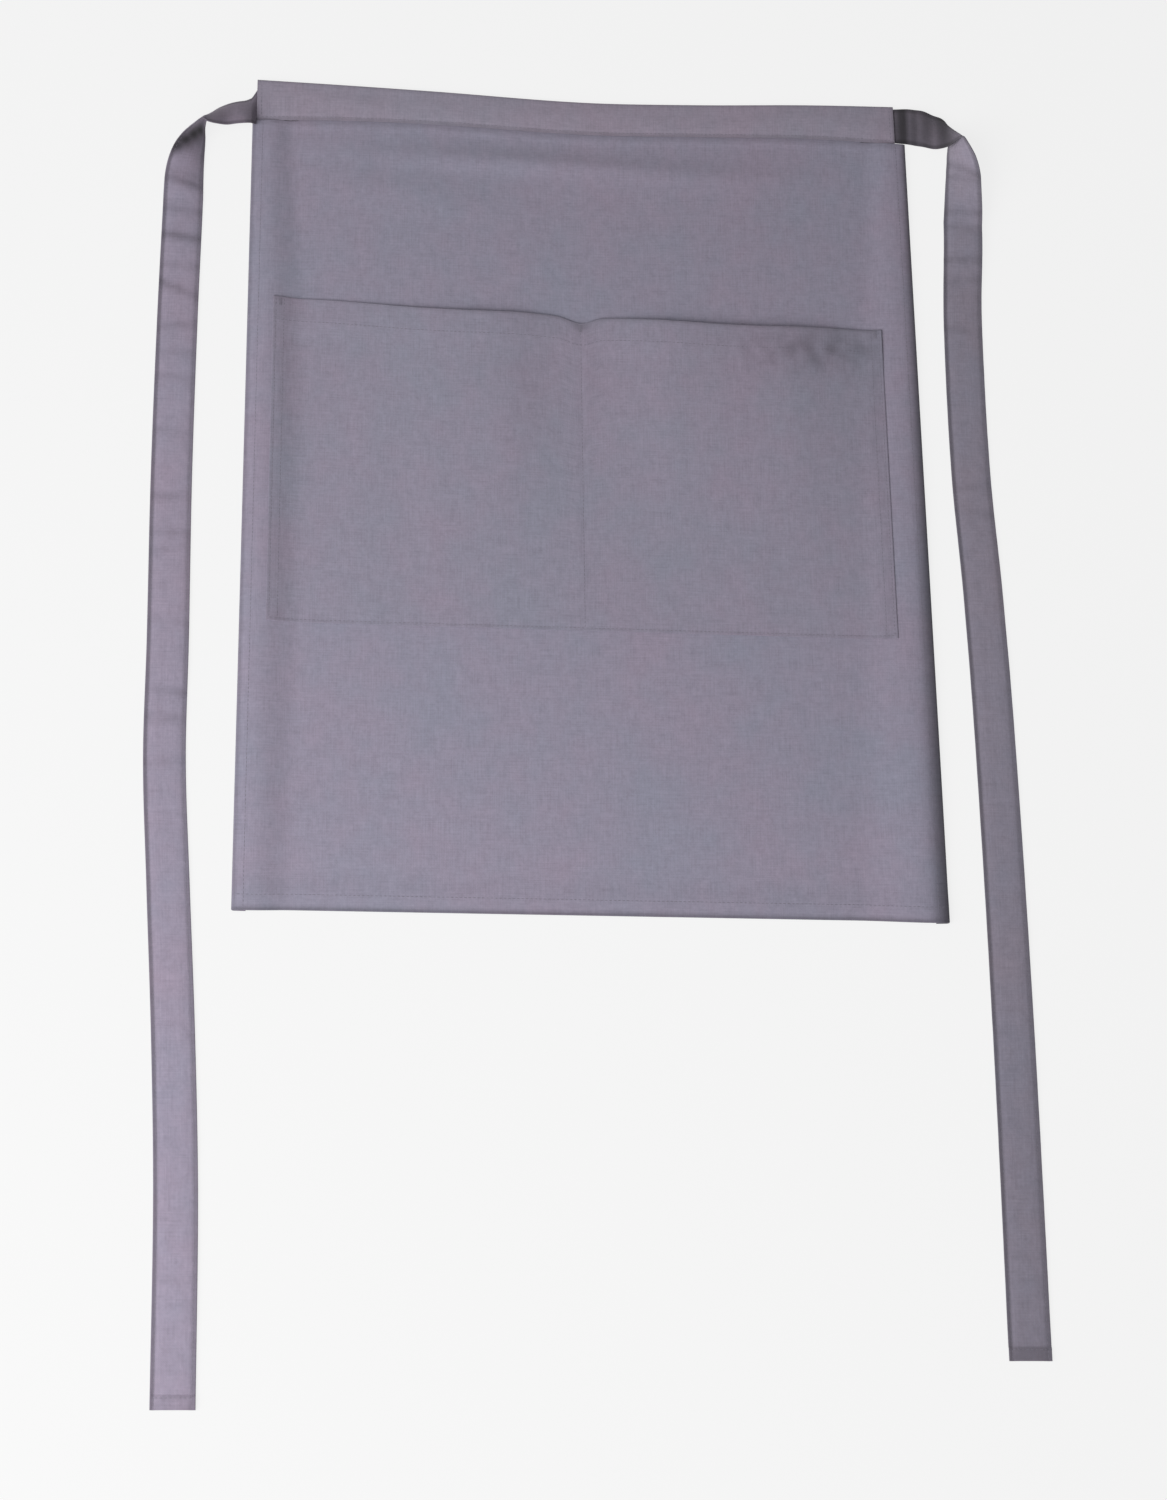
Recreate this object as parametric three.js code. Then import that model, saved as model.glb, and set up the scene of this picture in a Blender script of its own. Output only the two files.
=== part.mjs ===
import * as THREE from "three";

// Waist apron laid out flat with its front up. Lengths are in millimetres, angles in degrees.
// The origin is on the surface that it lies on, under the middle of the waistband.
// +X runs to the apron's right end as seen from above, -Y runs down to the hem, +Z is up.

// Cloth, and the air left between two layers
const panelCloth = 1.0;
const bandCloth = 1.0;
const pocketCloth = 1.0;
const tieCloth = 1.0;
const layerGap = 0.3;

// Front panel
const panelWidth = 510;
const panelDrop = 630; // waistband seam to bottom edge, at the middle
const panelMargin = 10; // caught between the two faces of the waistband
const hemDepth = 12;
const hemCloth = 1.8; // bottom hem, turned up and pressed
const sideTurn = 10; // cloth turned under along each side
const foldGap = 0.4; // air inside the side fold
const sideRise = 7; // highest stand of a side above its fold
const sideCrest = 6; // from the end of the turned cloth to the crest
const sideFall = 24; // from the crest down to the flat panel
const marginClear = 3; // margin short of the sewn end of a tie
const flatStep = 3; // least flat cloth beside a side's slope
const seatFall = 9; // slope from the waistband down to the surface
const creaseHeight = 2.2;
const creaseDepth = 9; // half the breadth of a crease

// Ties
const tieWidth = 30;
const tieInsert = 22; // sewn into the end of the waistband
const tieReachLeft = 36; // waistband end to the inner edge of the hanging run
const tieReachRight = 34;
const tieDropLeft = 1003;
const tieDropRight = 977;
const tieSway = 21; // sideways wander of the hanging run
const tieSettle = 12; // length over which a tie comes down onto the surface

// Waistband, which takes the tie's width
const tieEase = 5;
const bandHeight = tieWidth + tieEase;
const bandPuff = 0.6; // soft rise of the band's front face
const bandInsetLeft = 3; // band end short of the panel's side
const bandInsetRight = 8;

// Pocket, one patch with a seam down its middle
const pocketWidth = 464;
const pocketHeight = 258;
const pocketDrop = 156; // waistband seam to pocket mouth
const pocketShift = -4; // middle seam from the panel's middle
const pocketMouthHem = 20;
const pocketHemCloth = 1.8;
const pocketSeam = 5; // breadth that is sewn down at a side, the bottom and the middle
const pocketPuff = 6.2; // how far each mouth stands open
const pocketDip = 8; // wander of the mouth's line
const puffFull = { from: 0.34, to: 0.66 }; // shares of half the width where a mouth stands fully open
const puffFall = { from: 0.16, to: 0.8 }; // shares of the height over which the stand falls off
const puffKeep = 0.1; // share of the stand that is left at the foot of the fall

// Fineness of the cloth: how many steps, or the shares of a length at which its rows lie
const seatRows = [0, 0.25, 0.5, 0.75, 1]; // of the slope under the waistband
const creaseRows = [0.026, 0.034, 0.042, 0.05, 0.06, 0.075, 0.09, 0.11, 0.14]; // of the drop
const lowRows = [0.2, 0.28, 0.36, 0.44, 0.52, 0.6, 0.68, 0.76, 0.84, 0.92];
const hemStep = 0.0006; // half the step up to the hem's double cloth
const noseSteps = 4; // round the nose of a side fold
const crestColumns = [0.2, 0.5, 1]; // from the nose to the crest
const slopeSteps = 5; // from the crest down to the flat
const middleSteps = 16; // across the flat between the sides
const bandSteps = 24;
const bandFoldSteps = 6;
const bandBackRows = [0, 0.5, 0.9];
const bandFrontRows = [0.8, 0.5, 0.2, 0];
const mouthColumns = [0.035, 0.07, 0.11, 0.17, 0.25, 0.35, 0.5, 0.65, 0.76, 0.85, 0.93];
const pocketRows = [0.06, 0.14, 0.24, 0.36, 0.48, 0.6, 0.72, 0.84, 0.93];
const mouthHemStep = 1.05; // foot of the step down from the mouth's hem, as a share of the hem
const cornerSteps = 24;
const runSteps = 30;
const tieColumns = 4;
const runFlatten = 0.08; // share of the run over which a tie comes to lie flat
const leastCup = 0.001; // bend across a tie that counts as flat, in radians

// Waistband edges: "at" is a share of half the panel's width, top and seam are shares of bandHeight
const bandLine = [
  { at: -1.0, top: 0.54, seam: -0.51 },
  { at: -0.75, top: 0.51, seam: -0.42 },
  { at: -0.45, top: 0.46, seam: -0.4 },
  { at: 0.0, top: 0.36, seam: -0.48 },
  { at: 0.35, top: 0.44, seam: -0.4 },
  { at: 0.7, top: 0.58, seam: -0.31 },
  { at: 1.0, top: 0.65, seam: -0.34 },
];

// Side folds: "at" is a share of the drop, rise of sideRise, crest of sideCrest, fall of sideFall
const sideLeft = [
  { at: 0.0, rise: 0.1, crest: 0.4, fall: 0.7 },
  { at: 0.3, rise: 0.34, crest: 0.7, fall: 1.0 },
  { at: 0.65, rise: 0.3, crest: 0.6, fall: 0.9 },
  { at: 1.0, rise: 0.2, crest: 0.5, fall: 0.8 },
];
const sideRight = [
  { at: 0.0, rise: 0.08, crest: 0.3, fall: 0.7 },
  { at: 0.35, rise: 0.3, crest: 0.4, fall: 0.8 },
  { at: 0.7, rise: 0.68, crest: 0.6, fall: 0.9 },
  { at: 1.0, rise: 1.0, crest: 0.8, fall: 1.0 },
];

// Creases: x and length are shares of half the width, down is a share of the drop,
// height of creaseHeight, depth of creaseDepth, lean is the slope of the crease line
const creases = [
  { x: -0.16, down: 0.042, length: 0.42, height: 1.0, depth: 1.0, lean: -0.02 },
  { x: 0.34, down: 0.052, length: 0.3, height: 0.5, depth: 1.3, lean: 0.03 },
  { x: -0.55, down: 0.09, length: 0.22, height: 0.45, depth: 1.7, lean: -0.1 },
];

// Pocket mouth: "at" is a share of half the pocket's width, dip is a share of pocketDip
const mouthLine = [
  { at: -1.0, dip: 0.45 },
  { at: -0.75, dip: 0.55 },
  { at: -0.35, dip: 0.15 },
  { at: -0.08, dip: -0.2 },
  { at: 0.0, dip: -0.9 },
  { at: 0.08, dip: -0.25 },
  { at: 0.7, dip: -0.3 },
  { at: 1.0, dip: -0.4 },
];

// Tie corners, from the panel's side to the hanging run. A tie turns over there: the edge that is
// uppermost at the waistband becomes the run's inner edge, and the other edge stands up on its way.
// "at" is the place along the corner, out is a share of the reach and down a share of tieWidth to the
// first edge, lift its rise as a share of tieWidth, turn and roll aim the tie's breadth in plan and
// out of it, and cup is the bend across the tie.
const cornerLeft = [
  { at: 0.0, out: 0.0, down: 0.1, lift: 0.0, turn: -90, roll: 9, cup: 8 },
  { at: 0.09, out: 0.14, down: 0.33, lift: 0.0, turn: -90, roll: 18, cup: 14 },
  { at: 0.18, out: 0.31, down: 0.45, lift: 0.0, turn: -90, roll: 23, cup: 20 },
  { at: 0.27, out: 0.53, down: 0.57, lift: 0.0, turn: -90, roll: 27, cup: 26 },
  { at: 0.36, out: 0.72, down: 0.72, lift: 0.0, turn: -90, roll: 36, cup: 30 },
  { at: 0.45, out: 0.89, down: 0.9, lift: 0.0, turn: -93, roll: 48, cup: 30 },
  { at: 0.54, out: 0.98, down: 1.1, lift: 0.0, turn: -102, roll: 62, cup: 26 },
  { at: 0.63, out: 1.01, down: 1.35, lift: 0.0, turn: -128, roll: 58, cup: 22 },
  { at: 0.72, out: 1.0, down: 1.63, lift: 0.0, turn: -150, roll: 50, cup: 18 },
  { at: 0.81, out: 1.0, down: 2.03, lift: 0.0, turn: -165, roll: 36, cup: 16 },
  { at: 0.9, out: 1.0, down: 2.6, lift: 0.0, turn: -172, roll: 17, cup: 12 },
  { at: 1.0, out: 0.99, down: 3.4, lift: 0.0, turn: -178, roll: 5, cup: 8 },
];
const cornerRight = [
  { at: 0.0, out: 0.0, down: 0.01, lift: 0.06, turn: -90, roll: -4, cup: 4 },
  { at: 0.09, out: 0.2, down: 0.04, lift: 0.13, turn: -90, roll: -7, cup: 8 },
  { at: 0.18, out: 0.44, down: 0.08, lift: 0.16, turn: -90, roll: -8, cup: 12 },
  { at: 0.27, out: 0.68, down: 0.18, lift: 0.12, turn: -90, roll: -1, cup: 18 },
  { at: 0.36, out: 0.92, down: 0.27, lift: 0.08, turn: -90, roll: 14, cup: 24 },
  { at: 0.45, out: 1.07, down: 0.5, lift: 0.04, turn: -97, roll: 44, cup: 26 },
  { at: 0.54, out: 1.08, down: 0.8, lift: 0.01, turn: -112, roll: 60, cup: 22 },
  { at: 0.63, out: 1.04, down: 1.11, lift: 0.0, turn: -135, roll: 56, cup: 22 },
  { at: 0.72, out: 1.0, down: 1.41, lift: 0.0, turn: -150, roll: 47, cup: 18 },
  { at: 0.81, out: 0.96, down: 1.81, lift: 0.0, turn: -158, roll: 35, cup: 16 },
  { at: 0.9, out: 0.91, down: 2.34, lift: 0.0, turn: -160, roll: 24, cup: 12 },
  { at: 1.0, out: 0.82, down: 3.28, lift: 0.0, turn: -172, roll: 9, cup: 8 },
];

// Hanging runs: "at" is a share of the drop, sway is a share of tieSway, positive away from the panel
const runLeft = [
  { at: 0.0, sway: 0.0 },
  { at: 0.1, sway: 0.0 },
  { at: 0.2, sway: 0.05 },
  { at: 0.33, sway: 0.06 },
  { at: 0.46, sway: -0.02 },
  { at: 0.55, sway: -0.05 },
  { at: 0.64, sway: -0.31 },
  { at: 0.75, sway: -0.65 },
  { at: 0.86, sway: -0.9 },
  { at: 1.0, sway: -1.02 },
];
const runRight = [
  { at: 0.0, sway: 0.0 },
  { at: 0.1, sway: 0.0 },
  { at: 0.19, sway: -0.23 },
  { at: 0.32, sway: -0.29 },
  { at: 0.42, sway: -0.13 },
  { at: 0.55, sway: -0.03 },
  { at: 0.77, sway: -0.05 },
  { at: 1.0, sway: -0.19 },
];

const halfWidth = panelWidth / 2;
const sideFold = hemCloth + foldGap;
const bandRoom = Math.max(panelCloth, tieCloth) + 2 * layerGap;
const bandRadius = (bandCloth + bandRoom) / 2;
const panelSeat = bandCloth + layerGap;
const hemShare = 1 - hemDepth / panelDrop;

const radians = THREE.MathUtils.degToRad;
const mix = THREE.MathUtils.lerp;
const smooth = THREE.MathUtils.smoothstep;

// Value of one column of a table at a share, on a smooth curve through its rows
function readTable(table, share, column) {
  const last = table.length - 1;
  const at = THREE.MathUtils.clamp(share, table[0].at, table[last].at);
  const slope = (row) => {
    const before = table[Math.max(row - 1, 0)];
    const after = table[Math.min(row + 1, last)];
    return (after[column] - before[column]) / (after.at - before.at);
  };
  let row = 0;
  while (row < last - 1 && at > table[row + 1].at) row += 1;
  const span = table[row + 1].at - table[row].at;
  const t = (at - table[row].at) / span;
  const start = table[row][column];
  const end = table[row + 1][column];
  const leaving = slope(row) * span * t * (1 - t) * (1 - t);
  const arriving = slope(row + 1) * span * t * t * (t - 1);
  return mix(start, end, t * t * (3 - 2 * t)) + leaving + arriving;
}

// Shares from 0 to 1 in equal steps, both ends included
function steps(count) {
  return Array.from({ length: count + 1 }, (_, i) => i / count);
}

// Closed cloth solid round a grid of points at the middle of its thickness.
// thickness(i, j) is the cloth's at a point, isCut(i, j) leaves out the cell that starts there.
function clothSolid(grid, thickness, isCut = () => false) {
  const rows = grid.length;
  const columns = grid[0].length;
  const within = (i, count) => Math.min(Math.max(i, 0), count - 1);
  const point = (i, j) => grid[within(j, rows)][within(i, columns)];
  const positions = [];
  for (let j = 0; j < rows; j += 1) {
    for (let i = 0; i < columns; i += 1) {
      const across = point(i + 1, j).clone().sub(point(i - 1, j));
      const along = point(i, j - 1).clone().sub(point(i, j + 1));
      const normal = across.cross(along).normalize().multiplyScalar(thickness(i, j) / 2);
      const upper = point(i, j).clone().add(normal);
      const under = point(i, j).clone().sub(normal);
      positions.push(upper.x, upper.y, upper.z, under.x, under.y, under.z);
    }
  }
  const hasCell = (i, j) => i >= 0 && j >= 0 && i < columns - 1 && j < rows - 1 && !isCut(i, j);
  const upperOf = (i, j) => 2 * (j * columns + i);
  const underOf = (i, j) => upperOf(i, j) + 1;
  const index = [];
  const quad = (a, b, c, d) => index.push(a, b, c, a, c, d);
  const wall = (i0, j0, i1, j1) => {
    quad(upperOf(i0, j0), underOf(i0, j0), underOf(i1, j1), upperOf(i1, j1));
  };
  for (let j = 0; j < rows - 1; j += 1) {
    for (let i = 0; i < columns - 1; i += 1) {
      if (!hasCell(i, j)) continue;
      quad(upperOf(i, j), upperOf(i, j + 1), upperOf(i + 1, j + 1), upperOf(i + 1, j));
      quad(underOf(i, j), underOf(i + 1, j), underOf(i + 1, j + 1), underOf(i, j + 1));
      if (!hasCell(i - 1, j)) wall(i, j, i, j + 1);
      if (!hasCell(i + 1, j)) wall(i + 1, j + 1, i + 1, j);
      if (!hasCell(i, j - 1)) wall(i + 1, j, i, j);
      if (!hasCell(i, j + 1)) wall(i, j + 1, i + 1, j + 1);
    }
  }
  const used = [...new Set(index)].sort((a, b) => a - b);
  const renumbered = new Map(used.map((old, i) => [old, i]));
  const kept = used.flatMap((old) => positions.slice(3 * old, 3 * old + 3));
  const geometry = new THREE.BufferGeometry();
  geometry.setAttribute("position", new THREE.Float32BufferAttribute(kept, 3));
  geometry.setIndex(index.map((old) => renumbered.get(old)));
  geometry.computeVertexNormals();
  return geometry;
}

const topY = (x) => bandHeight * readTable(bandLine, x / halfWidth, "top");
const seamY = (x) => bandHeight * readTable(bandLine, x / halfWidth, "seam");
const bottomY = seamY(0) - panelDrop;

// How far down the panel a place is, as a share of the drop
const downShare = (x, y) => (seamY(x) - y) / (seamY(x) - bottomY);

// Thickness of the panel's cloth at a share of the drop
const panelThickness = (share) => (share < hemShare ? panelCloth : hemCloth);

// Sizes of a side fold at a share of the drop
function sideAt(isLeft, share) {
  const table = isLeft ? sideLeft : sideRight;
  return {
    rise: sideRise * readTable(table, share, "rise"),
    crest: sideTurn + sideCrest * readTable(table, share, "crest"),
    fall: sideFall * readTable(table, share, "fall"),
  };
}

// Rise of the panel towards the waistband, and its creases
function panelSwell(x, y) {
  const below = seamY(x) - y;
  const seat = panelSeat * (1 - smooth(below, 0, seatFall));
  let swell = 0;
  for (const crease of creases) {
    const across = (x / halfWidth - crease.x) / crease.length;
    const middle = seamY(0) - crease.down * panelDrop + crease.lean * (x - crease.x * halfWidth);
    const off = (y - middle) / (crease.depth * creaseDepth);
    swell += crease.height * creaseHeight * Math.exp(-across * across - off * off);
  }
  return seat + swell * smooth(below, 0, seatFall);
}

// Height of the middle of the panel's upper layer over the surface
function panelMiddle(x, y) {
  const share = downShare(x, y);
  const side = sideAt(x < 0, share);
  const inward = halfWidth - Math.abs(x);
  const lift = Math.sin((Math.PI / 2) * Math.min(inward / side.crest, 1)) * side.rise + sideFold;
  const fallen = THREE.MathUtils.clamp((inward - side.crest) / side.fall, 0, 1);
  const kept = 0.5 + 0.5 * Math.cos(Math.PI * fallen);
  return panelThickness(share) / 2 + lift * kept + panelSwell(x, y);
}

const panelTop = (x, y) => panelMiddle(x, y) + panelThickness(downShare(x, y)) / 2;

// One row of the panel, from the end of the left turned cloth round to the right one
function panelRow(share, above) {
  const row = [];
  const place = (x) => (above > 0 ? seamY(x) + above : mix(seamY(x), bottomY, share));
  const radius = sideFold / 2;
  const foldSide = (isLeft) => {
    const sign = isLeft ? -1 : 1;
    const points = [];
    const cloth = panelThickness(share);
    const nose = halfWidth - cloth / 2 - radius;
    const side = sideAt(isLeft, share);
    const low = (x) => cloth / 2 + panelSwell(x, place(x));
    const turned = sign * (halfWidth - sideTurn);
    points.push(new THREE.Vector3(turned, place(turned), low(turned)));
    for (const step of steps(noseSteps)) {
      const angle = Math.PI * (step - 0.5);
      const x = sign * (nose + radius * Math.cos(angle));
      points.push(new THREE.Vector3(x, place(x), low(x) + radius * (1 + Math.sin(angle))));
    }
    const start = points[points.length - 1];
    const climb = start.z - panelMiddle(start.x, start.y);
    for (const part of crestColumns) {
      const inward = mix(halfWidth - nose, side.crest, part);
      const x = sign * (halfWidth - inward);
      const eased = climb * (1 - smooth(inward, halfWidth - nose, side.crest));
      points.push(new THREE.Vector3(x, place(x), panelMiddle(x, place(x)) + eased));
    }
    const flat = halfWidth - side.crest - side.fall;
    const inset = isLeft ? bandInsetLeft : bandInsetRight;
    const margin = Math.min(flat - flatStep, halfWidth - inset - tieInsert - marginClear);
    const sloping = steps(slopeSteps).slice(1).map((part) => mix(halfWidth - side.crest, flat, part));
    for (const reach of [...sloping, margin]) {
      const x = sign * reach;
      points.push(new THREE.Vector3(x, place(x), panelMiddle(x, place(x))));
    }
    return points;
  };
  const left = foldSide(true);
  const right = foldSide(false).reverse();
  row.push(...left);
  for (const step of steps(middleSteps).slice(1, -1)) {
    const x = mix(left[left.length - 1].x, right[0].x, step);
    row.push(new THREE.Vector3(x, place(x), panelMiddle(x, place(x))));
  }
  row.push(...right);
  return row;
}

function makePanel() {
  const seatShares = seatRows.map((part) => (part * seatFall) / panelDrop);
  const hemShares = [hemShare - hemStep, hemShare + hemStep, 1];
  const shares = [...seatShares, ...creaseRows, ...lowRows, ...hemShares];
  const marginRows = [panelMargin, panelMargin / 2];
  const grid = [
    ...marginRows.map((above) => panelRow(0, above)),
    ...shares.map((share) => panelRow(share, 0)),
  ];
  const columns = grid[0].length;
  const sideColumns = (columns - middleSteps + 1) / 2;
  const isSide = (i) => i < sideColumns - 1 || i >= columns - sideColumns;
  const thickness = (i, j) => panelThickness(j < marginRows.length ? 0 : shares[j - marginRows.length]);
  return clothSolid(grid, thickness, (i, j) => j < marginRows.length && isSide(i));
}

function makeBand() {
  const grid = [];
  const ends = { left: -halfWidth + bandInsetLeft, right: halfWidth - bandInsetRight };
  const ring = (x) => {
    const points = [];
    const low = seamY(x) + layerGap;
    const high = topY(x) - bandRadius - bandCloth / 2;
    for (const step of bandBackRows) {
      points.push(new THREE.Vector3(x, mix(low, high, step), bandCloth / 2));
    }
    for (const step of steps(bandFoldSteps)) {
      const angle = Math.PI * (step - 0.5);
      const y = high + bandRadius * Math.cos(angle);
      points.push(new THREE.Vector3(x, y, bandCloth / 2 + bandRadius * (1 + Math.sin(angle))));
    }
    for (const step of bandFrontRows) {
      const z = bandCloth / 2 + 2 * bandRadius + bandPuff * Math.sin(Math.PI * step);
      points.push(new THREE.Vector3(x, mix(low, high, step), z));
    }
    return points;
  };
  for (const step of steps(bandSteps)) grid.push(ring(mix(ends.left, ends.right, step)));
  return clothSolid(grid, () => bandCloth);
}

// Middle line of the pocket's mouth
function mouthY(x) {
  const share = (x - pocketShift) / (pocketWidth / 2);
  return seamY(0) - pocketDrop + pocketDip * readTable(mouthLine, share, "dip");
}

function makePocket() {
  const half = pocketWidth / 2;
  const floorY = seamY(0) - pocketDrop - pocketHeight;
  const seamShare = pocketSeam / half;
  const openShares = mouthColumns.map((part) => mix(seamShare, 1 - seamShare, part));
  const halfShares = [seamShare / 2, seamShare, ...openShares, 1 - seamShare, 1];
  const acrossShares = [...halfShares.map((share) => -share).reverse(), 0, ...halfShares];
  const mouthShare = pocketMouthHem / pocketHeight;
  const floorShare = 1 - pocketSeam / pocketHeight;
  const patchShare = mouthShare * mouthHemStep;
  const patchShares = pocketRows.map((part) => mix(patchShare, floorShare, part));
  const downShares = [0, mouthShare / 2, mouthShare, patchShare, ...patchShares, floorShare, 1];
  const puffAt = (across, down) => {
    const side = Math.abs(across);
    const opening = smooth(side, seamShare, puffFull.from) * (1 - smooth(side, puffFull.to, 1 - seamShare));
    const fall = mix(1, puffKeep, smooth(down, puffFall.from, puffFall.to));
    return pocketPuff * opening * fall * (1 - smooth(down, puffFall.to, floorShare));
  };
  const thicknessAt = (j) => (downShares[j] <= mouthShare ? pocketHemCloth : pocketCloth);
  const grid = downShares.map((down, j) => acrossShares.map((across) => {
    const x = pocketShift + across * half;
    const y = mix(mouthY(x), floorY, down);
    const under = panelTop(x, y) + layerGap + puffAt(across, down);
    return new THREE.Vector3(x, y, under + thicknessAt(j) / 2);
  }));
  return clothSolid(grid, (i, j) => thicknessAt(j));
}

function makeTie(isLeft) {
  const sign = isLeft ? -1 : 1;
  const reach = isLeft ? tieReachLeft : tieReachRight;
  const drop = isLeft ? tieDropLeft : tieDropRight;
  const corner = isLeft ? cornerLeft : cornerRight;
  const run = isLeft ? runLeft : runRight;
  const endX = sign * (halfWidth - (isLeft ? bandInsetLeft : bandInsetRight));
  const innerX = endX - sign * tieInsert;
  const seatY = Math.max(seamY(endX), seamY(innerX)) + layerGap + (isLeft ? 0 : tieEase / 4);
  const seatZ = panelSeat + tieCloth / 2;
  const edgeY = seatY + tieWidth;
  const seated = { turn: -90, roll: 0, cup: 0 };
  const stations = [
    { x: innerX, y: edgeY, z: seatZ, ...seated },
    { x: mix(innerX, endX, 0.5), y: edgeY, z: seatZ, ...seated },
    { x: endX, y: edgeY, z: seatZ, ...seated },
  ];
  for (const share of steps(cornerSteps)) {
    const row = (column) => readTable(corner, share, column);
    const out = reach * row("out");
    const settled = tieCloth / 2 + panelSeat * (1 - smooth(out, 0, tieSettle));
    stations.push({
      x: sign * (halfWidth + out),
      y: edgeY - row("down") * tieWidth,
      z: settled + row("lift") * tieWidth,
      turn: row("turn"),
      roll: row("roll"),
      cup: row("cup"),
    });
  }
  const last = stations[stations.length - 1];
  const endY = edgeY - drop;
  for (const share of steps(runSteps).slice(1)) {
    const y = mix(last.y, endY, share);
    const flat = smooth(share, 0, runFlatten);
    stations.push({
      x: last.x + sign * tieSway * readTable(run, (edgeY - y) / drop, "sway"),
      y,
      z: tieCloth / 2,
      turn: mix(last.turn, -180, flat),
      roll: mix(last.roll, 0, flat),
      cup: last.cup * (1 - flat),
    });
  }
  const grid = stations.map((station) => {
    const turn = radians(station.turn);
    const roll = radians(station.roll);
    const cup = Math.max(radians(station.cup), leastCup);
    const plan = new THREE.Vector3(-sign * Math.cos(turn), Math.sin(turn), 0);
    const breadth = plan.clone().multiplyScalar(Math.cos(roll)).setZ(Math.sin(roll));
    const hollow = plan.clone().multiplyScalar(-Math.sin(roll)).setZ(Math.cos(roll));
    const bend = tieWidth / cup;
    return steps(tieColumns).map((step) => {
      const angle = cup * (step - 0.5);
      const along = bend * (Math.sin(angle) + Math.sin(cup / 2));
      const bulge = bend * (Math.cos(angle) - Math.cos(cup / 2));
      const low = new THREE.Vector3(station.x, station.y, station.z);
      return low.addScaledVector(breadth, along).addScaledVector(hollow, bulge);
    });
  });
  if (isLeft) grid.reverse();
  return clothSolid(grid, () => tieCloth);
}

function clothMaterial(color) {
  return new THREE.MeshStandardMaterial({ color, roughness: 0.95, metalness: 0 });
}

function named(name, geometry, color) {
  const mesh = new THREE.Mesh(geometry, clothMaterial(color));
  mesh.name = name;
  return mesh;
}

const apron = new THREE.Group();
apron.name = "waist_apron";
apron.add(named("front_panel", makePanel(), 0x857f90));
apron.add(named("waistband", makeBand(), 0x827b8b));
apron.add(named("pocket", makePocket(), 0x7f798a));

const ties = new THREE.Group();
ties.name = "ties";
ties.add(named("tie_left", makeTie(true), 0x8a8496));
ties.add(named("tie_right", makeTie(false), 0x797484));
apron.add(ties);

export default apron;
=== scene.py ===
import math

import bmesh
import bpy
from mathutils import Matrix, Vector, noise


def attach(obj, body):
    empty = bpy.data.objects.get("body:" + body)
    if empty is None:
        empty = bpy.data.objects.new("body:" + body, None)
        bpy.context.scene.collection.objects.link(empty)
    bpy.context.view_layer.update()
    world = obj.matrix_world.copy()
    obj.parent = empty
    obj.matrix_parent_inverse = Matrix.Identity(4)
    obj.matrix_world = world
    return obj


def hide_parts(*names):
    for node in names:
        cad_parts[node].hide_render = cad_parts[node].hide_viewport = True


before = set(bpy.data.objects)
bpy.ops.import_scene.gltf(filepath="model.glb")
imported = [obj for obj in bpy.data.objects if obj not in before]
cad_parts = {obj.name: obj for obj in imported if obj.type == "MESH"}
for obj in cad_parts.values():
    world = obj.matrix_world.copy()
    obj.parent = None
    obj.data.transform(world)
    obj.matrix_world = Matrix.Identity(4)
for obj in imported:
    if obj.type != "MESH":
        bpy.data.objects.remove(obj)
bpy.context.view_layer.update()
scene = bpy.context.scene
scene.view_settings.view_transform = "Standard"
print("frame loaded:", len(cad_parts), "nodes")


# camera, floor and light

def setInputs(node, values):
    for label, value in values.items():
        node.inputs[label].default_value = value


def newMaterial(name):
    material = bpy.data.materials.new(name)
    material.use_nodes = True
    tree = material.node_tree
    return material, tree, tree.nodes["Principled BSDF"]


def addPiece(name, mesh, material):
    data = bpy.data.meshes.new(name)
    mesh.to_mesh(data)
    mesh.free()
    data.materials.append(material)
    piece = bpy.data.objects.new(name, data)
    scene.collection.objects.link(piece)
    return piece


view = {
    "lens": 70,
    "place": (-0.23844, -1.22223, 1.96505),
    "turn": (19.567, -6.450, -0.810),  # degrees
}

cameraData = bpy.data.cameras.new("camera")
cameraData.lens = view["lens"]
cameraData.sensor_width = 36
camera = bpy.data.objects.new("camera", cameraData)
camera.location = view["place"]
camera.rotation_euler = [math.radians(angle) for angle in view["turn"]]
scene.collection.objects.link(camera)
scene.camera = camera

studio = {
    "floorSize": 14,
    "floorColour": (0.09, 0.09, 0.09, 1),
    "floorGlow": 0.81,
    "skyColour": (1.0, 1.0, 1.0, 1),
    "skyStrength": 0.25,
    "keyPlace": (-1.45, -1.55, 1.4),
    "keyAim": (-0.05, -0.38, 0),
    "keySize": 2.0,
    "keyPower": 82.5,
}

floorMesh = bmesh.new()
bmesh.ops.create_grid(floorMesh, x_segments=1, y_segments=1, size=studio["floorSize"] / 2)
bmesh.ops.translate(floorMesh, verts=floorMesh.verts, vec=(0, 0, -0.0002))
paper, _, paperShader = newMaterial("paper_floor")
setInputs(paperShader, {
    "Base Color": studio["floorColour"],
    "Roughness": 1,
    "Specular IOR Level": 0,
    "Emission Color": (1, 1, 1, 1),
    "Emission Strength": studio["floorGlow"],
})
floor = addPiece("floor", floorMesh, paper)

sky = bpy.data.worlds.new("studio")
sky.use_nodes = True
setInputs(sky.node_tree.nodes["Background"], {
    "Color": studio["skyColour"],
    "Strength": studio["skyStrength"],
})
scene.world = sky

keyData = bpy.data.lights.new("window", "AREA")
keyData.size = studio["keySize"]
keyData.energy = studio["keyPower"]
key = bpy.data.objects.new("window", keyData)
key.location = studio["keyPlace"]
aim = Vector(studio["keyAim"]) - key.location
key.rotation_euler = aim.to_track_quat("-Z", "Y").to_euler()
scene.collection.objects.link(key)
print("camera, floor and light made")


# small helpers for shapes

def clamp(value, low=0.0, high=1.0):
    return min(max(value, low), high)


def mix(start, end, share):
    return start + (end - start) * share


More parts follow.
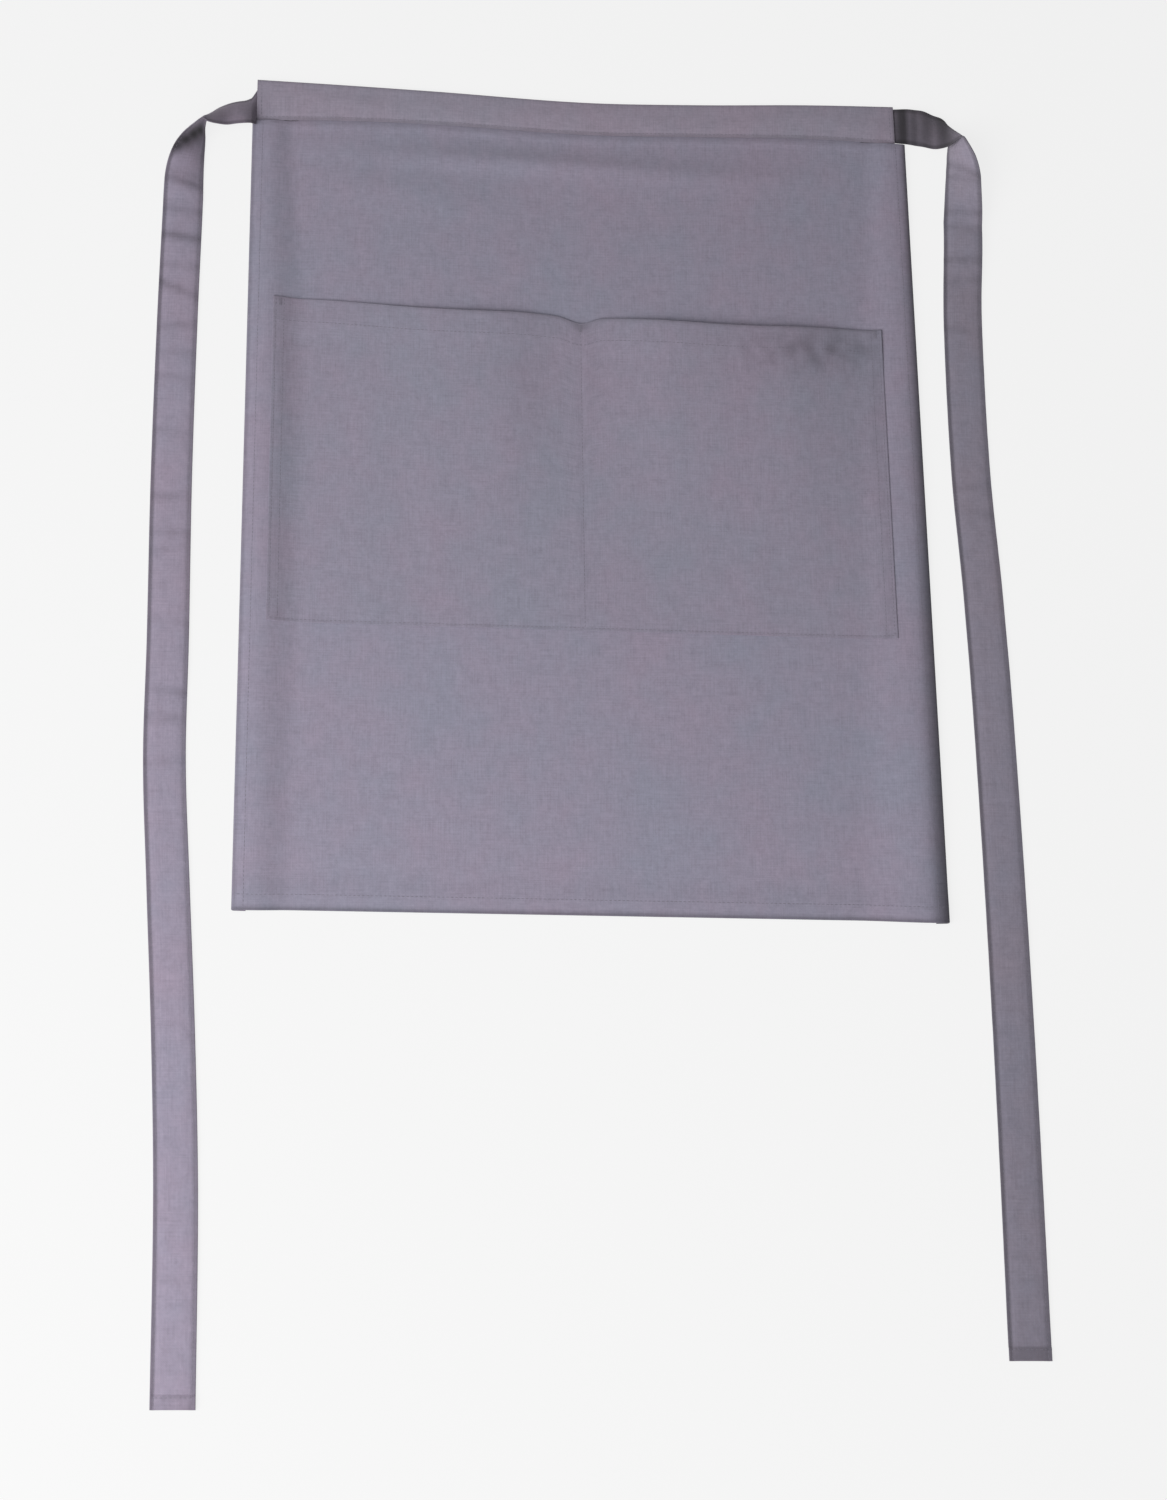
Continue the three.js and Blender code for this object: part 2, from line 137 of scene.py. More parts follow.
def smooth(value, low, high):
    # 0 at low, 1 at high
    share = clamp((value - low) / (high - low))
    return share * share * (3 - 2 * share)


def bell(value, middle, breadth):
    off = (value - middle) / breadth
    return math.exp(-off * off)


def softLine(value, middle, look):
    # a soft line along its middle, look is its strength and half its breadth
    return look[0] * bell(value, middle, look[1])


def waver(x, y, look):
    # smooth noise from -1 to 1, look is its scale along x and y and its layer
    return noise.noise(Vector((x * look[0], y * look[1], look[2])))


def readCurve(rows, at, column=1):
    # a smooth curve through the rows, each of which is (at, value, ...)
    last = len(rows) - 1
    at = clamp(at, rows[0][0], rows[last][0])
    row = 0
    while row < last - 1 and at > rows[row + 1][0]:
        row += 1
    span = rows[row + 1][0] - rows[row][0]
    share = (at - rows[row][0]) / span

    def slope(i):
        before, after = rows[max(i - 1, 0)], rows[min(i + 1, last)]
        return (after[column] - before[column]) / (after[0] - before[0])

    start, end = rows[row][column], rows[row + 1][column]
    leaving = slope(row) * span * share * (1 - share) ** 2
    arriving = slope(row + 1) * span * share * share * (share - 1)
    return mix(start, end, share * share * (3 - 2 * share)) + leaving + arriving


def stations(start, *spans):
    # places from start on, in equal steps of about the given size up to each span's end
    places = [start]
    for end, step in spans:
        first = places[-1]
        count = max(1, round(abs(end - first) / step))
        places += [mix(first, end, (i + 1) / count) for i in range(count)]
    return places


def mirrored(places):
    return [-place for place in reversed(places[1:])] + places


# per-vertex masks: fold is painted shade on folded edges, hollow is painted shade in creases and
# hollows, under edges and on slopes turned from the lamp, seam darkens stitch lines
masks = ("fold", "seam", "hollow")
softEdge = {
    "share": 0.3,  # of the cloth's thickness
    "segments": 2,
    "angle": 50,  # degrees
}


def clothPiece(name, across, down, place, marks, cloth, material, cut=None):
    # across and down are lengths on the flat cloth, place puts them in the room, marks gives
    # the three masks there, cut says where no cloth is
    grid = bmesh.new()
    columns, rows = len(across) - 1, len(down) - 1
    bmesh.ops.create_grid(grid, x_segments=columns, y_segments=rows, size=0.5)
    layers = [grid.verts.layers.float.new(label) for label in masks]
    flat = {}
    for vert in grid.verts:
        s = across[round((vert.co.x + 0.5) * columns)]
        t = down[round((0.5 - vert.co.y) * rows)]
        flat[vert] = (s, t)
        for layer, value in zip(layers, marks(s, t)):
            vert[layer] = value
    uv = grid.loops.layers.uv.new("cloth")
    for face in grid.faces:
        face.smooth = True
        for loop in face.loops:
            loop[uv].uv = (flat[loop.vert][0], -flat[loop.vert][1])
    if cut:
        gone = [face for face in grid.faces if all(cut(*flat[vert]) for vert in face.verts)]
        bmesh.ops.delete(grid, geom=gone, context="FACES")
    for vert in grid.verts:
        vert.co = place(*flat[vert])
    piece = addPiece(name, grid, material)
    wall = piece.modifiers.new("cloth thickness", "SOLIDIFY")
    wall.thickness = cloth
    wall.offset = 0
    edge = piece.modifiers.new("soft edge", "BEVEL")
    edge.width = cloth * softEdge["share"]
    edge.segments = softEdge["segments"]
    edge.limit_method = "ANGLE"
    edge.angle_limit = math.radians(softEdge["angle"])
    return piece


def seatOn(place, s, t, cloth):
    # a point on the cloth's outer face and the direction out of it
    reach = 0.0004
    alongS = place(s + reach, t) - place(s - reach, t)
    alongT = place(s, t + reach) - place(s, t - reach)
    out = alongT.cross(alongS).normalized()
    return place(s, t) + out * (cloth / 2), out


thread = {
    "pitch": 0.0031,
    "length": 0.0024,
    "breadth": 0.00045,
    "height": 0.0002,
    "batch": 16,
    "light": (0.17, 0.155, 0.20),
    "dark": (0.12, 0.11, 0.14),
    "roughness": 0.6,
    "sheen": 0.2,
    "strands": 900,
    "twist": 1.5,
    "bump": 0.5,
    "bumpDepth": 0.0001,
}


def sewRow(mesh, place, start, end, cloth, step=0.005, pitch=None, length=None):
    # stitches at even steps between two (s, t) places on the flat cloth
    pitch = pitch or thread["pitch"]
    legs = max(1, round(max(abs(end[0] - start[0]), abs(end[1] - start[1])) / step))
    path = [[mix(a, b, i / legs) for a, b in zip(start, end)] for i in range(legs + 1)]
    points = [place(s, t) for s, t in path]
    lengths = [0.0]
    for before, after in zip(points, points[1:]):
        lengths.append(lengths[-1] + (after - before).length)
    count = max(1, int(lengths[-1] / pitch))
    size = Vector((length or thread["length"], thread["breadth"], thread["height"])) / 2
    stretch = Matrix.Diagonal((*size, 1))
    few = bmesh.new()  # a few stitches at a time, because a big bmesh makes each new shape slow
    carrier = bpy.data.meshes.new("stitches")
    for i in range(count):
        target = (i + 0.5) * lengths[-1] / count
        leg = 0
        while leg < len(lengths) - 2 and lengths[leg + 1] < target:
            leg += 1
        share = (target - lengths[leg]) / max(lengths[leg + 1] - lengths[leg], 1e-9)
        s = mix(path[leg][0], path[leg + 1][0], share)
        t = mix(path[leg][1], path[leg + 1][1], share)
        spot, out = seatOn(place, s, t, cloth)
        way = (points[leg + 1] - points[leg]).normalized()
        way = (way - out * way.dot(out)).normalized()
        side = out.cross(way)
        turn = Matrix((way, side, out)).transposed().to_4x4()
        matrix = Matrix.Translation(spot) @ turn @ stretch
        bmesh.ops.create_uvsphere(few, u_segments=6, v_segments=4, radius=1, matrix=matrix)
        if (i + 1) % thread["batch"] == 0 or i == count - 1:
            few.to_mesh(carrier)
            mesh.from_mesh(carrier)
            few.clear()
    few.free()
    bpy.data.meshes.remove(carrier)


def threadPiece(name, mesh, material):
    for face in mesh.faces:
        face.smooth = True
    piece = addPiece(name, mesh, material)
    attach(piece, "root")
    return piece


# cloth and thread finishes

def newGroup(name, inputs, outputs):
    group = bpy.data.node_groups.new(name, "ShaderNodeTree")
    for label, kind, value in inputs:
        kind = f"NodeSocket{kind}"
        socket = group.interface.new_socket(label, in_out="INPUT", socket_type=kind)
        if value is not None:
            socket.default_value = value
    for label, kind in outputs:
        group.interface.new_socket(label, in_out="OUTPUT", socket_type=f"NodeSocket{kind}")
    start = group.nodes.new("NodeGroupInput")
    end = group.nodes.new("NodeGroupOutput")
    return group, start, end


def addNode(tree, kind):
    return tree.nodes.new(f"ShaderNode{kind}")


def mathNode(group, operation, first, second=None):
    node = addNode(group, "Math")
    node.operation = operation
    for i, value in enumerate((first, second)):
        if value is None:
            continue
        if isinstance(value, (int, float)):
            node.inputs[i].default_value = value
        else:
            group.links.new(value, node.inputs[i])
    return node.outputs[0]


def plus(group, first, second):
    return mathNode(group, "ADD", first, second)


def times(group, first, second):
    return mathNode(group, "MULTIPLY", first, second)


def minus(group, first, second):
    return mathNode(group, "SUBTRACT", first, second)


def noiseAt(group, vector, stretch, detail=2.0):
    mapping = addNode(group, "Mapping")
    setInputs(mapping, {"Scale": stretch})
    group.links.new(vector, mapping.inputs["Vector"])
    node = addNode(group, "TexNoise")
    setInputs(node, {"Scale": 1, "Detail": detail})
    group.links.new(mapping.outputs[0], node.inputs["Vector"])
    return node.outputs["Fac"]


weaveLook = {
    "thread": 0.00055,
    "wander": 1.5,
    "wanderScale": (60, 60, 1),
    "slubScales": ((1500, 45, 1), (45, 1500, 1)),
    "mottleScale": (420, 420, 1),
    "patchScale": (150, 120, 1),
    "patchMiddle": 0.36,
    "over": 0.12,
    "slub": 0.32,
    "mottle": 0.30,
    "patch": 0.26,
    "overHeight": 0.5,
    "slubHeight": 0.5,
}


def makeWeave():
    # plain weave with uneven threads: tone for colour, height for the bump
    group, start, end = newGroup(
        "plain_weave",
        [("Vector", "Vector", None), ("Thread", "Float", weaveLook["thread"])],
        [("Tone", "Float"), ("Height", "Float")],
    )
    vector, pitch = start.outputs["Vector"], start.outputs["Thread"]
    wander = times(group, noiseAt(group, vector, weaveLook["wanderScale"], 1), weaveLook["wander"])
    split = addNode(group, "SeparateXYZ")
    group.links.new(vector, split.inputs[0])
    waves = []
    for axis in (0, 1):
        turns = plus(group, mathNode(group, "DIVIDE", split.outputs[axis], pitch), wander)
        waves.append(mathNode(group, "SINE", times(group, turns, math.pi)))
    over = times(group, *waves)
    slub = plus(group, *[noiseAt(group, vector, scale) for scale in weaveLook["slubScales"]])
    mottle = noiseAt(group, vector, weaveLook["mottleScale"], 3)
    patch = noiseAt(group, vector, weaveLook["patchScale"])
    patch = minus(group, patch, weaveLook["patchMiddle"])
    tone = times(group, over, weaveLook["over"])
    for label, part in (("slub", slub), ("mottle", mottle), ("patch", patch)):
        tone = plus(group, tone, times(group, part, weaveLook[label]))
    overHeight = times(group, over, weaveLook["overHeight"])
    height = plus(group, overHeight, times(group, slub, weaveLook["slubHeight"]))
    group.links.new(tone, end.inputs["Tone"])
    group.links.new(height, end.inputs["Height"])
    return group


def colourMix(group, mode, factor, first, second):
    node = addNode(group, "Mix")
    node.data_type = "RGBA"
    node.blend_type = mode
    sockets = {"Factor": node.inputs[0], "A": node.inputs[6], "B": node.inputs[7]}
    for label, value in (("Factor", factor), ("A", first), ("B", second)):
        if isinstance(value, (int, float, tuple)):
            sockets[label].default_value = value
        else:
            group.links.new(value, sockets[label])
    return node.outputs[2]


clothLook = {
    "specular": 0.25,
    "sheen": 0.12,
    "sheenRoughness": 0.6,
    "bump": 0.55,
    "bumpDepth": 0.00012,
    # how dark the painted shade on folded edges and in hollows goes, and how much darker the seams are
    "foldShade": 0.72,
    "seamShade": 0.95,
    "hollowShade": 0.22,
    "contrast": 0.9,
}

dyeLook = {
    "broad": 0.72, "broadScale": (11, 9, 1),
    "near": 0.28, "nearScale": (62, 48, 1),
    "driftStart": 0.36,
    "driftGain": 3.4,
    "rough": 1.13,
    "roughFine": -0.25,
    "roughFold": 0.06,
}


def makeDyeAndShade():
    # dyed cloth with painted shade: two close tones in broad drifts, darkened by painted shade on folded
    # edges and in hollows, and a little darker along seams
    group, start, end = newGroup(
        "dye_and_painted_shade",
        [
            ("Vector", "Vector", None),
            ("Tone", "Float", 0.5),
            ("Cool", "Color", None),
            ("Warm", "Color", None),
            ("Contrast", "Float", clothLook["contrast"]),
            *[(label.capitalize(), "Float", 0.0) for label in masks],
            *[(f"{label.capitalize()} Shade", "Float", 1.0) for label in masks],
        ],
        [("Color", "Color"), ("Roughness", "Float")],
    )
    vector = start.outputs["Vector"]
    broad = times(group, noiseAt(group, vector, dyeLook["broadScale"]), dyeLook["broad"])
    near = times(group, noiseAt(group, vector, dyeLook["nearScale"]), dyeLook["near"])
    drift = minus(group, plus(group, broad, near), dyeLook["driftStart"])
    drift = mathNode(group, "MAXIMUM", times(group, drift, dyeLook["driftGain"]), 0.0)
    drift = mathNode(group, "MINIMUM", drift, 1.0)
    colour = colourMix(group, "MIX", drift, start.outputs["Cool"], start.outputs["Warm"])
    fine = minus(group, start.outputs["Tone"], 0.5)
    fine = plus(group, times(group, fine, start.outputs["Contrast"]), 1.0)
    # the fold and hollow masks multiply in painted shade, the seam mask darkens the stitch lines
    tone = fine
    for label in (mask.capitalize() for mask in masks):
        shade = minus(group, start.outputs[f"{label} Shade"], 1.0)
        shade = plus(group, times(group, start.outputs[label], shade), 1.0)
        tone = times(group, tone, shade)
    grey = addNode(group, "CombineColor")
    for channel in grey.inputs:
        group.links.new(tone, channel)
    shaded = colourMix(group, "MULTIPLY", 1.0, colour, grey.outputs[0])
    rough = plus(group, times(group, fine, dyeLook["roughFine"]), dyeLook["rough"])
    worn = times(group, start.outputs["Fold"], dyeLook["roughFold"])
    group.links.new(shaded, end.inputs["Color"])
    group.links.new(minus(group, rough, worn), end.inputs["Roughness"])
    return group


weaveGroup = makeWeave()
dyeShadeGroup = makeDyeAndShade()


def clothMaterial(name, own):
    look = {**clothLook, **own}
    material, tree, shader = newMaterial(name)
    links = tree.links
    setInputs(shader, {
        "Specular IOR Level": look["specular"],
        "Sheen Weight": look["sheen"],
        "Sheen Roughness": look["sheenRoughness"],
    })
    uv = addNode(tree, "UVMap")
    uv.uv_map = "cloth"
    weave = addNode(tree, "Group")
    weave.node_tree = weaveGroup
    setInputs(weave, {"Thread": weaveLook["thread"]})
    dyeAndShade = addNode(tree, "Group")
    dyeAndShade.node_tree = dyeShadeGroup
    colours = {"Cool": (*look["cool"], 1), "Warm": (*look["warm"], 1)}
    setInputs(dyeAndShade, {**colours, "Contrast": look["contrast"]})
    # attribute masks: fold and hollow paint shade into the colour, seam darkens the stitch lines
    for label in masks:
        mask = addNode(tree, "Attribute")
        mask.attribute_name = label
        links.new(mask.outputs["Fac"], dyeAndShade.inputs[label.capitalize()])
        setInputs(dyeAndShade, {f"{label.capitalize()} Shade": look[f"{label}Shade"]})
    bump = addNode(tree, "Bump")
    setInputs(bump, {"Strength": look["bump"], "Distance": look["bumpDepth"]})
    links.new(uv.outputs["UV"], weave.inputs["Vector"])
    links.new(uv.outputs["UV"], dyeAndShade.inputs["Vector"])
    links.new(weave.outputs["Tone"], dyeAndShade.inputs["Tone"])
    links.new(dyeAndShade.outputs["Color"], shader.inputs["Base Color"])
    links.new(dyeAndShade.outputs["Roughness"], shader.inputs["Roughness"])
    links.new(weave.outputs["Height"], bump.inputs["Height"])
    links.new(bump.outputs["Normal"], shader.inputs["Normal"])
    return material


def threadMaterial(name):
    # twisted sewing thread
    material, tree, shader = newMaterial(name)
    setInputs(shader, {"Roughness": thread["roughness"], "Sheen Weight": thread["sheen"]})
    place = addNode(tree, "TexCoord")
    strands = addNode(tree, "TexWave")
    strands.bands_direction = "DIAGONAL"
    setInputs(strands, {"Scale": thread["strands"], "Distortion": thread["twist"]})
    ramp = addNode(tree, "ValToRGB")
    ramp.color_ramp.elements[0].color = (*thread["dark"], 1)
    ramp.color_ramp.elements[1].color = (*thread["light"], 1)
    bump = addNode(tree, "Bump")
    setInputs(bump, {"Strength": thread["bump"], "Distance": thread["bumpDepth"]})
    links = tree.links
    links.new(place.outputs["Object"], strands.inputs["Vector"])
    links.new(strands.outputs["Fac"], ramp.inputs["Fac"])
    links.new(ramp.outputs["Color"], shader.inputs["Base Color"])
    links.new(strands.outputs["Fac"], bump.inputs["Height"])
    links.new(bump.outputs["Normal"], shader.inputs["Normal"])
    return material


clothColoursAndShades = {
    "panel": {"cool": (0.229, 0.224, 0.288), "warm": (0.256, 0.220, 0.286)},
    "band": {"cool": (0.248, 0.232, 0.290), "warm": (0.272, 0.230, 0.290)},
    "pocket": {"cool": (0.225, 0.220, 0.280), "warm": (0.250, 0.214, 0.278)},
    # the left tie's tones are lighter and the right tie's darker: painted light and shade from the lamp
    # on the left, lit and shaded copies of one cloth; their low fold and hollow shades paint deep shade
    "tieLeft": {
        "cool": (0.243, 0.223, 0.290), "warm": (0.268, 0.221, 0.287),
        "foldShade": 0.62, "hollowShade": 0.08,
    },
    "tieRight": {
        "cool": (0.211, 0.199, 0.253), "warm": (0.230, 0.199, 0.247),
        "foldShade": 0.62, "hollowShade": 0.12,
    },
}
panelFinish = clothMaterial("panel_cloth", clothColoursAndShades["panel"])
bandFinish = clothMaterial("band_cloth", clothColoursAndShades["band"])
pocketFinish = clothMaterial("pocket_cloth", clothColoursAndShades["pocket"])
tieLeftLitCloth = clothMaterial("tie_left_cloth", clothColoursAndShades["tieLeft"])
tieRightShadedCloth = clothMaterial("tie_right_cloth", clothColoursAndShades["tieRight"])
threadFinish = threadMaterial("sewing_thread")
print("finishes made")


# waistband lines that the other pieces follow

band = {
    "height": 0.035,
    "cloth": 0.0009,
    "insetLeft": 0.003,
    "insetRight": 0.008,
    "radius": 0.0013,
    "backZ": 0.0005,
    "topEase": 0.0005,
    "frontRise": 0.0295,  # length of the front face on the flat cloth
    "puff": 0.0006,
    "endPuff": 0.35, "endRun": 0.012,
    "pucker": 0.00022, "puckerNoise": (110, 1.6, 5.1),
    "wave": 0.0005, "waveNoise": (26, 2.2, 9.4),
    "gap": 0.0003,
    "line": [  # share of half the width, top edge and seam as shares of the height
        (-1.0, 0.54, -0.51),
        (-0.75, 0.51, -0.42),
        (-0.45, 0.46, -0.40),
        (0.0, 0.36, -0.48),
        (0.35, 0.44, -0.40),
        (0.7, 0.58, -0.31),
        (1.0, 0.65, -0.34),
    ],
    "stitchUp": 0.0025,
    "endStitch": 0.0035,
    # soft lines, the first two as depths; the folds are painted shade on the folded top and ends,
    # lowHollow is painted shadow along the lower edge
    "groove": (0.0002, 0.0011),
    "roll": (0.0003, 0.0008),
    "topFold": (0.5, 0.003),
    "endFold": (0.7, 0.0016),
    "lowSeam": (0.7, 0.0012),
    "stitchSeam": (1.0, 0.0016),
    "endSeam": (0.8, 0.0014),
    "lowHollow": (0.42, 0.0018),
}

panel = {
    "halfWidth": 0.255,
    "drop": 0.630,
    "margin": 0.010,
    "marginHalf": 0.219,
    "cloth": 0.0008,
    "under": 0.00005,
    "hemDepth": 0.012,
    "hemCloth": 0.0017,
    "hemRadius": 0.00045,
    "hemFade": (-0.001, 0.014), "hemSlide": 0.45, "slideRun": 0.09,
    "turn": 0.010, "turnGap": 0.0015,
    "taper": 0.010,
    "foldRadius": 0.0011,
    "rise": 0.007, "crest": 0.006, "fall": 0.024,
    "seat": 0.0013, "seatFall": 0.009,
    "creaseHeight": 0.0022,
    "creaseDepth": 0.009,
    "ripple": 0.0009, "broad": 0.7, "broadNoise": (8, 6, 0.4),
    "small": 0.25, "smallNoise": (30, 11, 3.2),
    "gather": 0.0003, "gatherNoise": (95, 14, 7.7), "gatherFall": 0.02,
    "calm": 0.85, "calmRun": (0.002, 0.070),
    "sideHold": 0.5, "holdRun": (0.033, 0.009),
    "sideStitch": 0.008,
    "hemStitch": 0.0105,
    # soft lines: the folds and hollows are painted shade, the seams darken stitch lines
    "sideFold": (0.6, 0.0022),
    "hemFold": (1.0, 0.0018),
    "sideSeam": (0.5, 0.0020),
    "hemSeam": (0.3, 0.0020),
    "topSeam": (0.9, 0.0035),
    "hemHollow": (0.38, 0.0018),
    "topHollow": (0.17, 0.0036),
    # painted shade along each side edge, broad on the right side that turns from the lamp: strength,
    # half breadth at the top and at the hem
    "sideHollow": {-1: (0.40, 0.0020, 0.0020), 1: (0.88, 0.0036, 0.0100)},
    "sides": {  # share of the drop, then rise, crest and fall as shares of the sizes above
        -1: [
            (0.0, 0.10, 0.4, 0.8), (0.3, 0.27, 0.7, 1.3),
            (0.65, 0.22, 0.6, 1.3), (1.0, 0.14, 0.5, 1.2),
        ],
        1: [
            (0.0, 0.06, 0.3, 0.9), (0.35, 0.15, 0.4, 1.4),
            (0.7, 0.25, 0.5, 1.9), (1.0, 0.36, 0.6, 2.2),
        ],
    },
    "creases": [  # middle, drop share, half length, height, depth, lean
        (-0.16, 0.042, 0.42, 1.0, 1.0, -0.02),
        (0.34, 0.052, 0.30, 0.5, 1.3, 0.03),
        (-0.55, 0.090, 0.22, 0.45, 1.7, -0.10),
    ],
}
panelHalf = panel["halfWidth"]


def topY(x):
    return band["height"] * readCurve(band["line"], x / panelHalf, 1)


def seamY(x):
    return band["height"] * readCurve(band["line"], x / panelHalf, 2)


bottomY = seamY(0) - panel["drop"]


# front panel

def layerCloth(y):
    # thickness of the panel's layer, doubled in the hem
    start, end = (panel["hemDepth"] + step for step in panel["hemFade"])
    return mix(panel["hemCloth"], panel["cloth"], smooth(y - bottomY, start, end))


def panelSwell(x, y):
    below = seamY(x) - y
    away = smooth(below, 0, panel["seatFall"])
    swell = 0.0
    for middle, down, length, height, depth, lean in panel["creases"]:
        line = seamY(0) - down * panel["drop"] + lean * (x - middle * panelHalf)
        along = bell(x / panelHalf, middle, length)
        swell += height * panel["creaseHeight"] * along * bell(y, line, depth * panel["creaseDepth"])
    broad = panel["broad"] * (0.5 + 0.5 * waver(x, y, panel["broadNoise"]))
    small = panel["small"] * (0.5 + 0.5 * waver(x, y, panel["smallNoise"]))
    gather = waver(x, y, panel["gatherNoise"]) * math.exp(-max(below, 0) / panel["gatherFall"])
    calm = 1 - panel["calm"] + panel["calm"] * smooth(y - bottomY, *panel["calmRun"])
    swell += panel["ripple"] * calm * (broad + small) + panel["gather"] * gather
    start, end = (panelHalf - step for step in panel["holdRun"])
    held = 1 - panel["sideHold"] * smooth(abs(x), start, end)
    return panel["seat"] * held * (1 - away) + swell * away


def sideLift(x, y):
    # rise of a side over the flat panel
    share = (seamY(x) - y) / (seamY(x) - bottomY)
    side = panel["sides"][-1 if x < 0 else 1]
    rise = panel["rise"] * readCurve(side, share, 1)
    crest = panel["turn"] + panel["crest"] * readCurve(side, share, 2)
    fall = panel["fall"] * readCurve(side, share, 3)
    inward = panelHalf - abs(x)
    lift = math.sin(math.pi / 2 * min(inward / crest, 1)) * rise + 2 * panel["foldRadius"]
    return lift * (0.5 + 0.5 * math.cos(math.pi * clamp((inward - crest) / fall)))


def panelMiddle(x, y):
    return layerCloth(y) / 2 + panel["under"] + panelSwell(x, y) + sideLift(x, y)


def panelTop(x, y):
    return panelMiddle(x, y) + layerCloth(y) / 2


def hemSlide(x, y):
    # the hem lies a little further out where a side stands up
    return panel["hemSlide"] * sideLift(x, y) * smooth(y, bottomY + panel["slideRun"], bottomY)


foldArc = math.pi * panel["foldRadius"]
hemArc = math.pi * panel["hemRadius"]
noseX = panelHalf - panel["cloth"] / 2 - panel["foldRadius"]
noseY = bottomY + panel["cloth"] / 2 + panel["hemRadius"]
turnEnd = noseX + foldArc + panel["turn"] - panel["turnGap"]
panelLength = seamY(0) - noseY


def panelPlace(s, t):
    # s runs across the flat cloth from its middle, t down it from the waistband's seam
    side = -1 if s < 0 else 1
    run = abs(s)
    radius = panel["foldRadius"]
    x = run
    if run > noseX + foldArc:
        x = noseX - (run - noseX - foldArc)
    elif run > noseX:
        x = noseX + radius * math.sin((run - noseX) / radius)
    length = seamY(side * x) - noseY
    if t > panelLength:
        t += length - panelLength
    elif t > 0:  # the cloth is a little longer where the seam is high
        t *= length / panelLength
    y = seamY(side * x) - min(t, length)
    layer = 0.5
    if t > length:
        bend = clamp((t - length) / panel["hemRadius"], 0, math.pi)
        layer *= math.cos(bend)
        y = noseY - panel["hemRadius"] * math.sin(bend) + max(t - length - hemArc, 0)
    squeeze = (layerCloth(y) - panel["cloth"]) / 2
    offset = 2 * layer * squeeze
    if run <= noseX:
        x -= squeeze * smooth(run, noseX - panel["taper"], noseX)
        return Vector((side * x, y - hemSlide(side * x, y), panelMiddle(side * x, y) + offset))
    if run > noseX + foldArc:
        z = panelMiddle(side * x, y) - 2 * radius - offset
        z = max(z, panel["cloth"] / 2 + panel["under"])
    else:
        angle = (run - noseX) / radius
        x = noseX - squeeze + (radius + offset) * math.sin(angle)
        z = panelMiddle(side * noseX, y) - radius + (radius + offset) * math.cos(angle)
    return Vector((side * x, y - hemSlide(side * min(x, noseX), y), z))


def panelMarks(s, t):
    x = min(abs(s), panelHalf)
    # fold is painted shade on the folded sides and hem, hollow is painted shade along the side edges, on
    # the hem's nose and under the waistband
    fold = max(
        softLine(abs(s), noseX + foldArc / 2, panel["sideFold"]),
        softLine(t, panelLength, panel["hemFold"]),
    )
    seam = max(
        softLine(x, panelHalf - panel["sideStitch"], panel["sideSeam"]),
        softLine(t, panelLength + 0.0004 - panel["hemStitch"], panel["hemSeam"]),
        softLine(t, 0.0, panel["topSeam"]),
    )
    inward = panelHalf - min(abs(s), noseX)
    strength, atTop, atHem = panel["sideHollow"][-1 if s < 0 else 1]
    hollow = max(
        strength * bell(inward, 0.0, mix(atTop, atHem, clamp(t / panelLength))),
        softLine(t, panelLength + 0.0006, panel["hemHollow"]),
        softLine(t, 0.001, panel["topHollow"]),
    )
    return fold, seam, hollow


halfStations = stations(
    0.0, (0.208, 0.0036), (noseX, 0.002), (noseX + foldArc, foldArc / 8), (turnEnd, 0.0022)
)
panelAcross = mirrored(halfStations)
panelDown = stations(
    -panel["margin"], (0.0, 0.0025), (0.010, 0.0016), (0.060, 0.0026),
    (panelLength - 0.020, 0.0035), (panelLength, 0.0018),
    (panelLength + hemArc, hemArc / 6),
    (panelLength + hemArc + panel["hemDepth"] - 0.001, 0.003),
)
panelPiece = clothPiece(
    "front_panel_cloth", panelAcross, panelDown, panelPlace, panelMarks, panel["cloth"], panelFinish,
    cut=lambda s, t: t <= 0 and abs(s) >= panel["marginHalf"],
)
print("front panel made")


def panelStitches():
    mesh = bmesh.new()
    hemT = panelLength - panel["hemStitch"]
    hemEnd = panelHalf - 0.0025
    sewRow(mesh, panelPlace, (-hemEnd, hemT), (hemEnd, hemT), panel["cloth"], 0.004)
    for side in (-1, 1):
        sideS = side * (panelHalf - panel["sideStitch"])
        sewRow(mesh, panelPlace, (sideS, 0.002), (sideS, panelLength - 0.001), panel["cloth"])
    return threadPiece("front_panel_stitches", mesh, threadFinish)


panelThread = panelStitches()


# waistband

bandEnds = (-panelHalf + band["insetLeft"], panelHalf - band["insetRight"])
bandRise = band["frontRise"]
bandArc = math.pi * band["radius"]
bandTotal = 2 * bandRise + bandArc


def bandPlace(x, t):
    # t runs from the front face's seam edge up, over the fold and down the back face
    low = seamY(x) + band["gap"]
    high = topY(x) - band["radius"] - band["topEase"]
    rise = high - low
    backZ, frontZ = band["backZ"], band["backZ"] + 2 * band["radius"]
    share = clamp(t / bandRise)
    if t <= bandRise:
        near = clamp(min(x - bandEnds[0], bandEnds[1] - x) / band["endRun"])
        arch = math.sin(math.pi * share)
        puff = band["puff"] * arch * mix(band["endPuff"], 1, near)
        pucker = band["pucker"] * waver(x, share, band["puckerNoise"]) * (1 - share)
        wave = band["wave"] * waver(x, share, band["waveNoise"]) * arch
        groove = softLine(share * rise, band["stitchUp"], band["groove"])
        roll = softLine(share * rise, 0.0, band["roll"])
        return Vector((x, low + share * rise, frontZ + puff + pucker + wave - groove - roll))
    if t <= bandRise + bandArc:
        angle = (t - bandRise) / band["radius"]
        y = high + band["radius"] * math.sin(angle)
        return Vector((x, y, backZ + band["radius"] * (1 + math.cos(angle))))
    share = (t - bandRise - bandArc) / bandRise
    return Vector((x, high - share * rise, backZ))


def bandOrder(x, t):
    # the grid runs down from the back face over the fold to the front seam
    return bandPlace(x, bandTotal - t)


